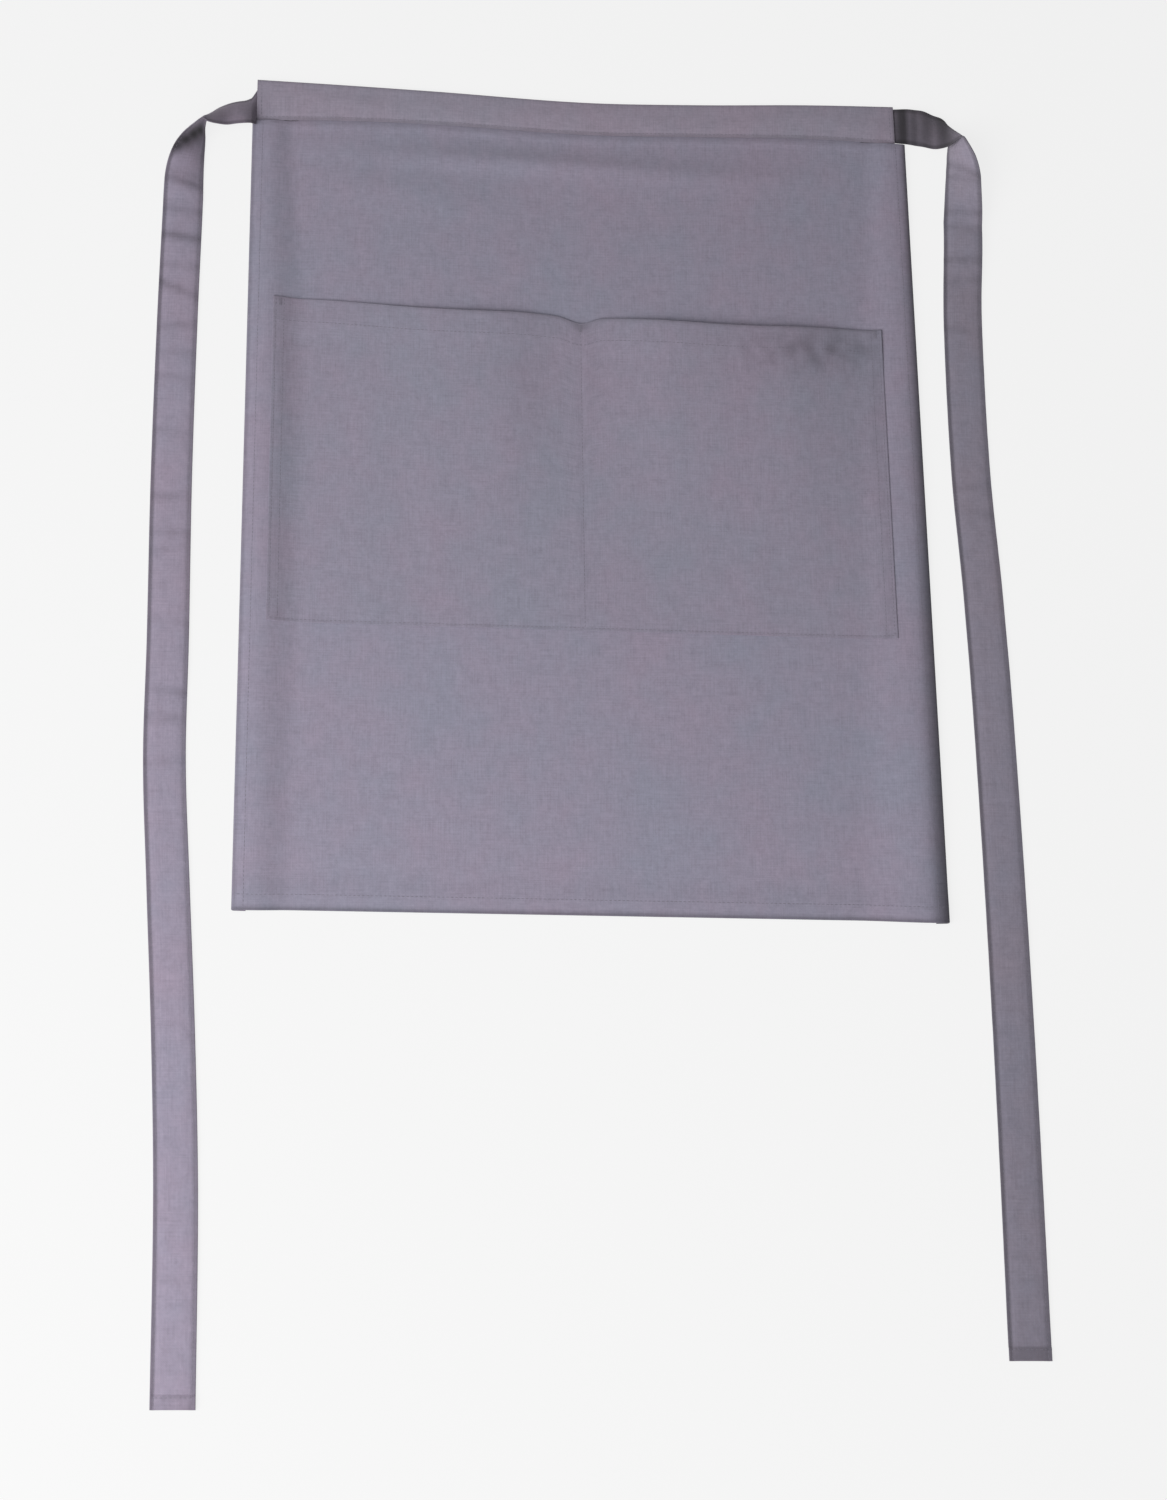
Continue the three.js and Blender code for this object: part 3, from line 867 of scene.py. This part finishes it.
def bandMarks(x, t):
    up = bandTotal - t
    ends = min(x - bandEnds[0], bandEnds[1] - x)
    # painted shade on the folded top and ends, and painted shadow along the lower edge
    fold = max(
        softLine(up, bandRise + bandArc / 2, band["topFold"]),
        softLine(ends, 0.0, band["endFold"]),
    )
    seam = max(
        softLine(up, band["stitchUp"], band["stitchSeam"]),
        softLine(up, 0.0, band["lowSeam"]),
        softLine(ends, band["endStitch"], band["endSeam"]),
    )
    return fold, seam, softLine(up, 0.0, band["lowHollow"])


bandDown = stations(
    0.0, (bandRise, 0.0024), (bandRise + bandArc, bandArc / 8),
    (bandTotal - 0.006, 0.0018), (bandTotal, 0.0008),
)
bandAcross = stations(bandEnds[0], (bandEnds[1], 0.0028))
bandPiece = clothPiece(
    "waistband_cloth", bandAcross, bandDown, bandOrder, bandMarks, band["cloth"], bandFinish
)


def bandStitches():
    mesh = bmesh.new()
    lowT = bandTotal - band["stitchUp"]
    left, right = bandEnds[0] + 0.003, bandEnds[1] - 0.003
    sewRow(mesh, bandOrder, (left, lowT), (right, lowT), band["cloth"], 0.004)
    for x in (bandEnds[0] + band["endStitch"], bandEnds[1] - band["endStitch"]):
        topT = bandTotal - bandRise + 0.002
        sewRow(mesh, bandOrder, (x, topT), (x, lowT - 0.001), band["cloth"], 0.003)
    return threadPiece("waistband_stitches", mesh, threadFinish)


bandThread = bandStitches()
print("waistband made")


# pocket

pocket = {
    "width": 0.464,
    "height": 0.258,
    "drop": 0.156,
    "shift": -0.004,
    "cloth": 0.0005,
    "gap": 0.0001,
    "mouthHem": 0.020,
    "hemCloth": 0.0011,
    "hemRadius": 0.0003,
    "seam": 0.005,
    "puff": 0.0040,
    "puffFall": 0.9, "fallRun": (0.16, 0.8),
    "openRun": (0.34, 0.66),
    "sag": 0.0030,
    "dip": 0.008,
    "hemFade": (-0.004, 0.016), "edgeStitch": 0.0022,
    "edgeRow": 0.006,
    "mouthStitch": 0.0185,
    "tackRows": 9, "tackStep": 0.0007,
    "tackHalf": 0.0035, "tackStitch": 0.0036,
    "pucker": {
        "place": (0.166, -0.200), "run": (0.050, 0.013), "depth": 0.00028,
        "pitch": 0.017, "lean": (0.94, 0.35), "drift": 2.6, "noise": (30, 30, 1.5),
    },
    "ripple": 0.0003, "rippleNoise": (36, 13, 4.4),
    "rippleRun": (0.001, 0.008),
    "bunch": 0.0003, "bunchNoise": (120, 20, 6.6),
    "bunchFall": (0.014, 0.012),  # from the bottom edge and from the middle seam
    "clear": 0.0002, "clearFall": 0.006,
    # soft lines, the first three as depths; the folds are painted shade on the mouth and edges, the
    # hollows painted shade along the sides and round the middle tack
    "middleGroove": (0.00015, 0.0025),
    "edgeGroove": (0.00015, 0.0016),
    "edgeRoll": (0.00015, 0.0008),
    "quietPuff": (0.92, 0.40),
    "quietMouth": (0.95, 0.40),
    "middleMouth": (0.7, 0.05),
    "mouthFold": (0.7, 0.0026),
    "edgeFold": (0.3, 0.0016),
    "stitchSeam": (0.8, 0.0018),
    "middleSeam": (0.4, 0.0026),
    "rightHollow": (0.22, 0.006),
    "leftHollow": (0.09, 0.008),
    "tackHollow": (0.42, 0.0065),
    "quiet": -0.80,  # where the left mouth lies shut, as a share of half the width
    # painted shadow of the puckers under the right mouth, mottled
    "corner": {
        "place": (0.188, 0.019), "run": (0.060, 0.018), "depth": 0.19,
        "mottledShadow": 0.25, "noise": (105, 80, 2.9),
    },
    "mouth": [  # share of half the width, dip as a share of the dip
        (-1.0, 0.45), (-0.75, 0.55), (-0.35, 0.15), (-0.08, -0.20),
        (0.0, -0.90), (0.08, -0.25), (0.7, -0.30), (1.0, -0.40),
    ],
}
pocketHalf = pocket["width"] / 2
pocketFloor = seamY(0) - pocket["drop"] - pocket["height"]
pocketLength = pocket["height"] - pocket["cloth"] / 2 - pocket["hemRadius"]
pocketArc = math.pi * pocket["hemRadius"]


def mouthY(x):
    share = (x - pocket["shift"]) / pocketHalf
    sag = pocket["sag"] * math.sin(math.pi * clamp(abs(share))) ** 2
    return seamY(0) - pocket["drop"] + pocket["dip"] * readCurve(pocket["mouth"], share) - sag


def pocketPuff(across, down):
    side = abs(across)
    seamShare = pocket["seam"] / pocketHalf
    floorShare = 1 - pocket["seam"] / pocket["height"]
    start, end = pocket["openRun"]
    opening = smooth(side, seamShare, start) * (1 - smooth(side, end, 1 - seamShare))
    fall = 1 - pocket["puffFall"] * smooth(down, *pocket["fallRun"])
    fall *= 1 - smooth(down, pocket["fallRun"][1], floorShare)
    return pocket["puff"] * (1 - softLine(across, pocket["quiet"], pocket["quietPuff"])) * opening * fall


def pocketRipple(x, y):
    # soft puckers under the right mouth, and fainter ones over the whole patch
    own = pocket["pucker"]
    under = bell(x, own["place"][0], own["run"][0]) * bell(y, own["place"][1], own["run"][1])
    turns = (x * own["lean"][0] + y * own["lean"][1]) / own["pitch"]
    drift = own["drift"] * waver(x, y, own["noise"])
    puckers = under * own["depth"] * math.sin(2 * math.pi * turns + drift)
    small = pocket["ripple"] * waver(x, y, pocket["rippleNoise"])
    bunch = pocket["bunch"] * waver(x, y, pocket["bunchNoise"])
    floorFall, middleFall = pocket["bunchFall"]
    near = math.exp(-abs(y - pocketFloor) / floorFall) + math.exp(-abs(x - pocket["shift"]) / middleFall)
    return puckers + small + bunch * min(near, 1)


def pocketPlace(s, t):
    # s runs across from the middle seam, t down from the fold of the mouth's hem
    across = clamp(s / pocketHalf, -1.02, 1.02)
    x = pocket["shift"] + across * pocketHalf
    radius = pocket["hemRadius"]
    rim = mouthY(x) - pocket["cloth"] / 2 - radius
    stretch = (rim - pocketFloor) / pocketLength
    if t >= 0:
        y, layer = rim - t * stretch, 1.0
    elif t >= -pocketArc:
        bend = -t / radius
        y, layer = rim + radius * math.sin(bend), math.cos(bend)
    else:
        y, layer = rim + (t + pocketArc) * stretch, -1.0
    below = mouthY(x) - y
    edge = min(pocketHalf - abs(s), y - pocketFloor)
    start, end = (pocket["mouthHem"] + step for step in pocket["hemFade"])
    hemmed = mix(pocket["hemCloth"], pocket["cloth"], smooth(below, start, end))
    puff = pocketPuff(across, clamp(below / (mouthY(x) - pocketFloor)))
    ripple = pocketRipple(x, y) * smooth(edge, *pocket["rippleRun"])
    dips = (
        softLine(s, 0.0, pocket["middleGroove"])
        + softLine(edge, pocket["edgeStitch"], pocket["edgeGroove"])
        + softLine(edge, 0.0, pocket["edgeRoll"])
    )
    squeeze = (hemmed - pocket["cloth"]) / 2
    clear = pocket["clear"] * math.exp(-max(edge, 0) / pocket["clearFall"])
    under = panelTop(x, y) + pocket["gap"] + puff
    z = under + hemmed / 2 + max(ripple, -pocket["gap"] / 2 - puff) - dips + clear
    return Vector((x, y, z + layer * squeeze))


def pocketMarks(s, t):
    edge = min(pocketHalf - abs(s), pocketLength - t)
    share = s / pocketHalf
    shut = softLine(share, pocket["quiet"], pocket["quietMouth"])
    shut += softLine(share, 0.0, pocket["middleMouth"])
    # painted shade on the mouth's fold, fainter where the mouth lies shut, and on the edges
    fold = max(
        (1 - shut) * softLine(t, -pocketArc / 2, pocket["mouthFold"]),
        softLine(edge, 0.0, pocket["edgeFold"]),
    )
    seam = max(
        softLine(edge, pocket["edgeStitch"], pocket["stitchSeam"]),
        softLine(s, 0.0, pocket["middleSeam"]),
    )
    # painted shadow under the right mouth's puckers, along the sides and round the tack
    own = pocket["corner"]
    mottledShadow = own["mottledShadow"] * clamp(0.5 + 1.5 * waver(s, t, own["noise"]))
    corner = bell(s, own["place"][0], own["run"][0]) * bell(t, own["place"][1], own["run"][1])
    lower = 1 - 0.5 * smooth(t, 0.06, 0.2)
    hollow = max(
        (own["depth"] + mottledShadow) * corner,
        lower * softLine(s, pocketHalf - 0.007, pocket["rightHollow"]),
        softLine(s, 0.009 - pocketHalf, pocket["leftHollow"]),
        softLine(s, 0.0, pocket["tackHollow"]) * bell(t, 0.003, 0.0036),
    )
    return fold, seam, hollow


pocketStations = stations(0.0, (0.006, 0.0015), (pocketHalf - 0.008, 0.0031), (pocketHalf, 0.001))
pocketAcross = mirrored(pocketStations)
pocketDown = stations(
    -pocketArc - pocket["mouthHem"] + 0.001,
    (-pocketArc, 0.004), (0.0, pocketArc / 6), (0.024, 0.002),
    (pocketLength - 0.008, 0.003), (pocketLength, 0.001),
)
pocketPiece = clothPiece(
    "pocket_cloth", pocketAcross, pocketDown, pocketPlace, pocketMarks, pocket["cloth"], pocketFinish
)


def pocketStitches():
    mesh = bmesh.new()
    cloth, half, hemT = pocket["cloth"], pocket["tackHalf"], pocket["mouthStitch"]
    sideS, lowT = pocketHalf - pocket["edgeStitch"], pocketLength - pocket["edgeStitch"]
    innerS = sideS - pocket["edgeRow"]
    for s in (-sideS, -innerS, sideS, innerS):
        sewRow(mesh, pocketPlace, (s, 0.001), (s, lowT), cloth)
    sewRow(mesh, pocketPlace, (-sideS, lowT), (sideS, lowT), cloth)
    sewRow(mesh, pocketPlace, (0.0, 0.004), (0.0, lowT), cloth)
    sewRow(mesh, pocketPlace, (-sideS, hemT), (sideS, hemT), cloth)
    stitch = {"step": 2 * half, "pitch": pocket["tackStitch"], "length": pocket["tackStitch"]}
    for middle, top in ((0.0, 0.0015), (-sideS + 0.003, 0.001), (sideS - 0.003, 0.001)):
        for i in range(pocket["tackRows"]):
            t = top + i * pocket["tackStep"]
            sewRow(mesh, pocketPlace, (middle - half, t), (middle + half, t), cloth, **stitch)
    return threadPiece("pocket_stitches", mesh, threadFinish)


pocketThread = pocketStitches()
print("pocket made")


# ties

tie = {
    "width": 0.030,
    "cloth": 0.0010,
    "insert": 0.022,
    "ease": 0.005,
    "settle": 0.012,
    "sway": 0.021,
    "edgeStitch": 0.0024,
    "hem": 0.009,
    "hemStitch": 0.0012,
    "wall": 0.85,  # rendered thickness as a share of the cloth's
    "sewnShare": 0.015,
    "crown": 0.00035, "crownEdge": 0.009,
    "groove": (0.00025, 0.0011),
    "pucker": 0.00022, "puckerNoise": (120, 60, 1.2),
    "puckerFall": 0.004,
    "rumple": 0.0003, "rumpleNoise": (40, 20, 2.7),
    "wave": 0.0005, "waveNoise": (9, 8, 5.5),
    "crease": 0.0006,
    "creaseBreadth": 0.0038, "creaseNoise": (70, 3.1, 8.3),
    # painted shade in the creases
    "creaseHollow": 0.44,
    "endRise": 0.0006,
    "clear": 0.0003,
    # soft lines; endFold is painted shade on the folded end
    "endFold": (0.6, 0.0014),
    "stitchSeam": (1.0, 0.0013),
    "hemSeam": (1.0, 0.0012),
    "left": {
        "reach": 0.036,
        "drop": 1.003,
        "endShade": 0.25,
        # painted shadow where the tie turns down: middle and half length along the tie, place and half
        # breadth across it, depth
        "paintedShadows": [
            (0.083, 0.0060, 0.62, 0.36, 1.0), (0.087, 0.0075, 0.42, 0.36, 1.0),
            (0.092, 0.0075, 0.24, 0.34, 1.0), (0.097, 0.0060, 0.12, 0.26, 0.9),
            (0.031, 0.0090, 0.5, 2.0, 0.42), (0.055, 0.0120, 0.5, 2.0, 0.2),
        ],
        "sewnLower": 0.004,
        "dim": 0.0,
        # place from the free end, lean towards the inner edge, strength
        "creases": [
            (0.921, 0.25, 0.5), (0.9156, 0.25, 0.9), (0.892, 0.10, 0.5),
            (0.870, 0.12, 1.0), (0.846, 0.10, 0.4), (0.826, 0.45, 0.8),
            (0.795, -0.10, 0.5), (0.772, 0.05, 0.3), (0.752, 0.10, 0.35),
            (0.7085, 0.15, 0.3), (0.656, 0.05, 0.45), (0.627, 0.10, 0.4),
            (0.614, -0.05, 0.25), (0.558, 0.10, 0.2), (0.504, 0.05, 0.4),
            (0.484, 0.10, 0.5), (0.451, -0.10, 0.3),
        ],
        # place, out, down, lift, turn and roll in degrees, cup in degrees
        "corner": [
            (0.00, 0.00, 0.37, 0.0, -90, 20, 10), (0.09, 0.14, 0.45, 0.0, -90, 25, 16),
            (0.18, 0.31, 0.49, 0.0, -90, 26, 22), (0.27, 0.53, 0.59, 0.0, -90, 28, 26),
            (0.36, 0.72, 0.72, 0.0, -90, 36, 30), (0.45, 0.89, 0.90, 0.0, -93, 48, 30),
            (0.54, 0.98, 1.10, 0.0, -102, 62, 26), (0.63, 1.01, 1.35, 0.0, -128, 58, 22),
            (0.72, 1.00, 1.63, 0.0, -150, 50, 18), (0.81, 1.00, 2.03, 0.0, -165, 36, 16),
            (0.90, 1.00, 2.60, 0.0, -172, 17, 12), (1.00, 0.99, 3.40, 0.0, -178, 5, 8),
        ],
        "run": [
            (0.0, 0.0), (0.1, 0.0), (0.2, 0.05), (0.33, 0.06), (0.46, -0.02),
            (0.55, -0.05), (0.64, -0.31), (0.75, -0.65), (0.86, -0.90), (1.0, -1.02),
        ],
    },
    "right": {
        "reach": 0.034,
        "drop": 0.977,
        "endShade": 0.8,
        # painted shadow over the part that leaves the waistband
        "paintedShadows": [
            (0.029, 0.0085, 0.5, 3.0, 1.0), (0.038, 0.0080, 0.5, 3.0, 0.75),
            (0.048, 0.0120, 0.5, 3.0, 0.77), (0.062, 0.0110, 0.5, 3.0, 0.86),
        ],
        "sewnLower": 0.0,
        "dim": 0.13,
        "creases": [
            (0.922, -0.40, 0.8), (0.9145, -0.10, 0.5), (0.8865, 0.10, 0.5),
            (0.8725, -0.10, 0.4), (0.846, 0.10, 0.5), (0.8275, 0.15, 0.4),
            (0.785, -0.05, 0.35), (0.652, 0.10, 0.35), (0.6315, -0.10, 0.3),
        ],
        "corner": [
            (0.00, 0.00, 0.01, 0.06, -90, -4, 4), (0.09, 0.20, 0.04, 0.13, -90, -7, 8),
            (0.18, 0.44, 0.08, 0.16, -90, -8, 12), (0.27, 0.68, 0.18, 0.12, -90, -1, 18),
            (0.36, 0.92, 0.27, 0.08, -90, 14, 24), (0.45, 1.07, 0.50, 0.04, -97, 44, 26),
            (0.54, 1.08, 0.80, 0.01, -112, 60, 22), (0.63, 1.04, 1.11, 0.0, -135, 56, 22),
            (0.72, 1.00, 1.41, 0.0, -150, 47, 18), (0.81, 0.96, 1.81, 0.0, -158, 35, 16),
            (0.90, 0.91, 2.34, 0.0, -160, 24, 12), (1.00, 0.82, 3.28, 0.0, -172, 9, 8),
        ],
        "run": [
            (0.0, 0.0), (0.1, 0.0), (0.19, -0.23), (0.32, -0.29), (0.42, -0.13),
            (0.55, -0.03), (0.77, -0.05), (1.0, -0.19),
        ],
    },
}


def tieStation(name, share):
    # edge point and frame of a tie at a share of its way: under 0 sewn in, 0 to 1 the corner,
    # 1 to 2 the hanging run
    own = tie[name]
    sign = -1 if name == "left" else 1
    inset = band["insetLeft"] if name == "left" else band["insetRight"]
    endX = sign * (panelHalf - inset)
    innerX = endX - sign * tie["insert"]
    lift = 0 if name == "left" else tie["ease"] / 4
    edgeY = max(seamY(endX), seamY(innerX)) + band["gap"] + lift + tie["width"]
    sewnY = edgeY - own["sewnLower"]
    seatZ = panel["seat"] + tie["cloth"] / 2
    if share <= 0:
        x = mix(endX, innerX, clamp(-share))
        return Vector((x, sewnY, seatZ)), -90.0, 0.0, 0.0
    corner = [readCurve(own["corner"], min(share, 1), column) for column in range(1, 7)]
    out, down, rise, turn, roll, cup = corner
    settled = tie["cloth"] / 2 + panel["seat"] * (1 - smooth(out * own["reach"], 0, tie["settle"]))
    x = sign * (panelHalf + out * own["reach"])
    y = edgeY - down * tie["width"]
    z = settled + rise * tie["width"]
    if share < tie["sewnShare"]:  # out of the waistband's end
        step = share / tie["sewnShare"]
        x, y, z = mix(endX, x, step), mix(sewnY, y, step), mix(seatZ, z, step)
        turn, roll, cup = mix(-90, turn, step), roll * step, cup * step
    if share > 1:
        way = share - 1
        endY = edgeY - own["drop"]
        runY = mix(y, endY, way)
        x += sign * tie["sway"] * readCurve(own["run"], (edgeY - runY) / own["drop"])
        flat = smooth(way, 0, 0.08)
        turn, roll, cup = mix(turn, -180, flat), mix(roll, 0, flat), cup * (1 - flat)
        y, z = runY, tie["cloth"] / 2
    return Vector((x, y, z)), turn, roll, cup


def tiePath(name):
    # shares of the way against length, so that stations lie evenly on the cloth
    shares = stations(-1.0, (0.0, 0.025), (2.0, 0.01))
    middles = []
    for share in shares:
        station = tieStation(name, share)
        middles.append(station[0] + tieFrame(name, station)[0] * tie["width"] / 2)
    lengths = [0.0]
    for before, after in zip(middles, middles[1:]):
        lengths.append(lengths[-1] + (after - before).length)
    return shares, lengths


def tieFrame(name, station):
    sign = -1 if name == "left" else 1
    _, turn, roll, _ = station
    turn, roll = math.radians(turn), math.radians(roll)
    plan = Vector((-sign * math.cos(turn), math.sin(turn), 0))
    breadth = plan * math.cos(roll) + Vector((0, 0, math.sin(roll)))
    hollow = plan * -math.sin(roll) + Vector((0, 0, math.cos(roll)))
    return breadth, hollow


def tieShape(name):
    shares, lengths = tiePath(name)
    total = lengths[-1]

    def shareAt(length):
        low = sum(passed <= length for passed in lengths[1:-1])
        part = clamp((length - lengths[low]) / max(lengths[low + 1] - lengths[low], 1e-9))
        return mix(shares[low], shares[low + 1], part)

    def place(s, t):
        # s is across the tie from its first edge, t along it from its sewn end
        way = shareAt(t)
        station = tieStation(name, way)
        breadth, hollow = tieFrame(name, station)
        cup = max(math.radians(station[3]), 0.001)
        bend = tie["width"] / cup
        angle = cup * (s / tie["width"] - 0.5)
        point = station[0] + breadth * bend * (math.sin(angle) + math.sin(cup / 2))
        point += hollow * bend * (math.cos(angle) - math.cos(cup / 2))
        return point + hollow * tieRelief(name, s, t, total, way)

    return place, total


def creaseAt(name, alongIn, t, total):
    # how deep in a crease across the tie, alongIn is 0 at its outer edge and 1 at its inner one
    deep = 0.0
    for fromEnd, lean, strength in tie[name]["creases"]:
        middle = total - fromEnd + lean * (alongIn - 0.5) * tie["width"]
        deep = max(deep, strength * bell(t, middle, tie["creaseBreadth"]))
    return deep * (0.75 + 0.5 * waver(t, alongIn, tie["creaseNoise"]))


def tieRelief(name, s, t, total, way):
    # stitched edges press in, with creases across the run and a doubled end
    inward = min(s, tie["width"] - s)
    free = smooth(way, 0.05, 0.3)
    stitched = tie["edgeStitch"]
    hemT = total - tie["hem"]
    crown = tie["crown"] * smooth(inward, stitched, tie["crownEdge"])
    groove = softLine(inward, stitched, tie["groove"])
    near = math.exp(-abs(inward - stitched) / tie["puckerFall"])
    pucker = tie["pucker"] * waver(t, s, tie["puckerNoise"]) * near
    rumple = tie["rumple"] * waver(t, s, tie["rumpleNoise"])
    crease = tie["crease"] * creaseAt(name, 1 - s / tie["width"], t, total)
    wave = tie["wave"] * (0.5 + 0.5 * waver(t, s, tie["waveNoise"]))
    end = tie["endRise"] * smooth(t, hemT - 0.0008, hemT + 0.0004)
    relief = crown - groove + pucker + rumple - crease + wave + end
    return free * (max(relief, -tie["clear"]) + tie["clear"])


def makeTie(name, material):
    place, total = tieShape(name)
    flipped = name == "left"

    def ordered(s, t):
        return place(tie["width"] - s, t) if flipped else place(s, t)

    own = tie[name]
    wall = tie["cloth"] * tie["wall"]
    hemT = total - tie["hem"]

    def marks(s, t):
        inward = min(s, tie["width"] - s)
        # fold is painted shade on the edges, end and corners, and darkens the end hem; hollow is painted
        # shade in the creases and painted shadow where the tie turns, and darkens towards the free end
        endHem = own["endShade"] * smooth(t, hemT - 0.001, hemT + 0.001)
        corners = 0.8 * bell(t, total, 0.008) * bell(inward, 0.0, 0.006)
        rim = smooth(inward, 0.0044, 0.0014)
        fold = max(rim, softLine(t, total, tie["endFold"]), endHem, corners)
        seam = max(
            softLine(inward, tie["edgeStitch"], tie["stitchSeam"]),
            softLine(t, hemT + tie["hemStitch"], tie["hemSeam"]),
        )
        alongIn = s / tie["width"] if flipped else 1 - s / tie["width"]
        crease = tie["creaseHollow"] * creaseAt(name, alongIn, t, total)
        hollow = max(crease, own["dim"] * smooth(t, 0.45, total))
        for middle, length, edge, breadth, depth in own["paintedShadows"]:
            hollow = max(hollow, depth * bell(t, middle, length) * bell(alongIn, edge, breadth))
        return fold, seam, hollow

    across = stations(0.0, (0.005, 0.0008), (tie["width"] - 0.005, 0.0020), (tie["width"], 0.0008))
    down = stations(0.0, (0.022, 0.004), (0.16, 0.0014), (total - 0.014, 0.0026), (total, 0.0009))
    piece = clothPiece(f"tie_{name}_cloth", across, down, ordered, marks, wall, material)
    mesh = bmesh.new()
    for s in (tie["edgeStitch"], tie["width"] - tie["edgeStitch"]):
        sewRow(mesh, ordered, (s, 0.024), (s, total - 0.002), wall, 0.004)
    rowT = hemT + tie["hemStitch"]
    edges = (tie["edgeStitch"], rowT), (tie["width"] - tie["edgeStitch"], rowT)
    sewRow(mesh, ordered, *edges, wall, 0.004)
    stitches = threadPiece(f"tie_{name}_stitches", mesh, threadFinish)
    return piece, stitches, total


tieLeft, tieLeftThread, tieLeftLength = makeTie("left", tieLeftLitCloth)
tieRight, tieRightThread, tieRightLength = makeTie("right", tieRightShadedCloth)
print("ties made")


# what each piece rides on and stands for

for piece, node in (
    (panelPiece, "front_panel"),
    (bandPiece, "waistband"),
    (pocketPiece, "pocket"),
    (tieLeft, "tie_left"),
    (tieRight, "tie_right"),
):
    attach(piece, "root")
    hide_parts(node)

print("apron dressed")
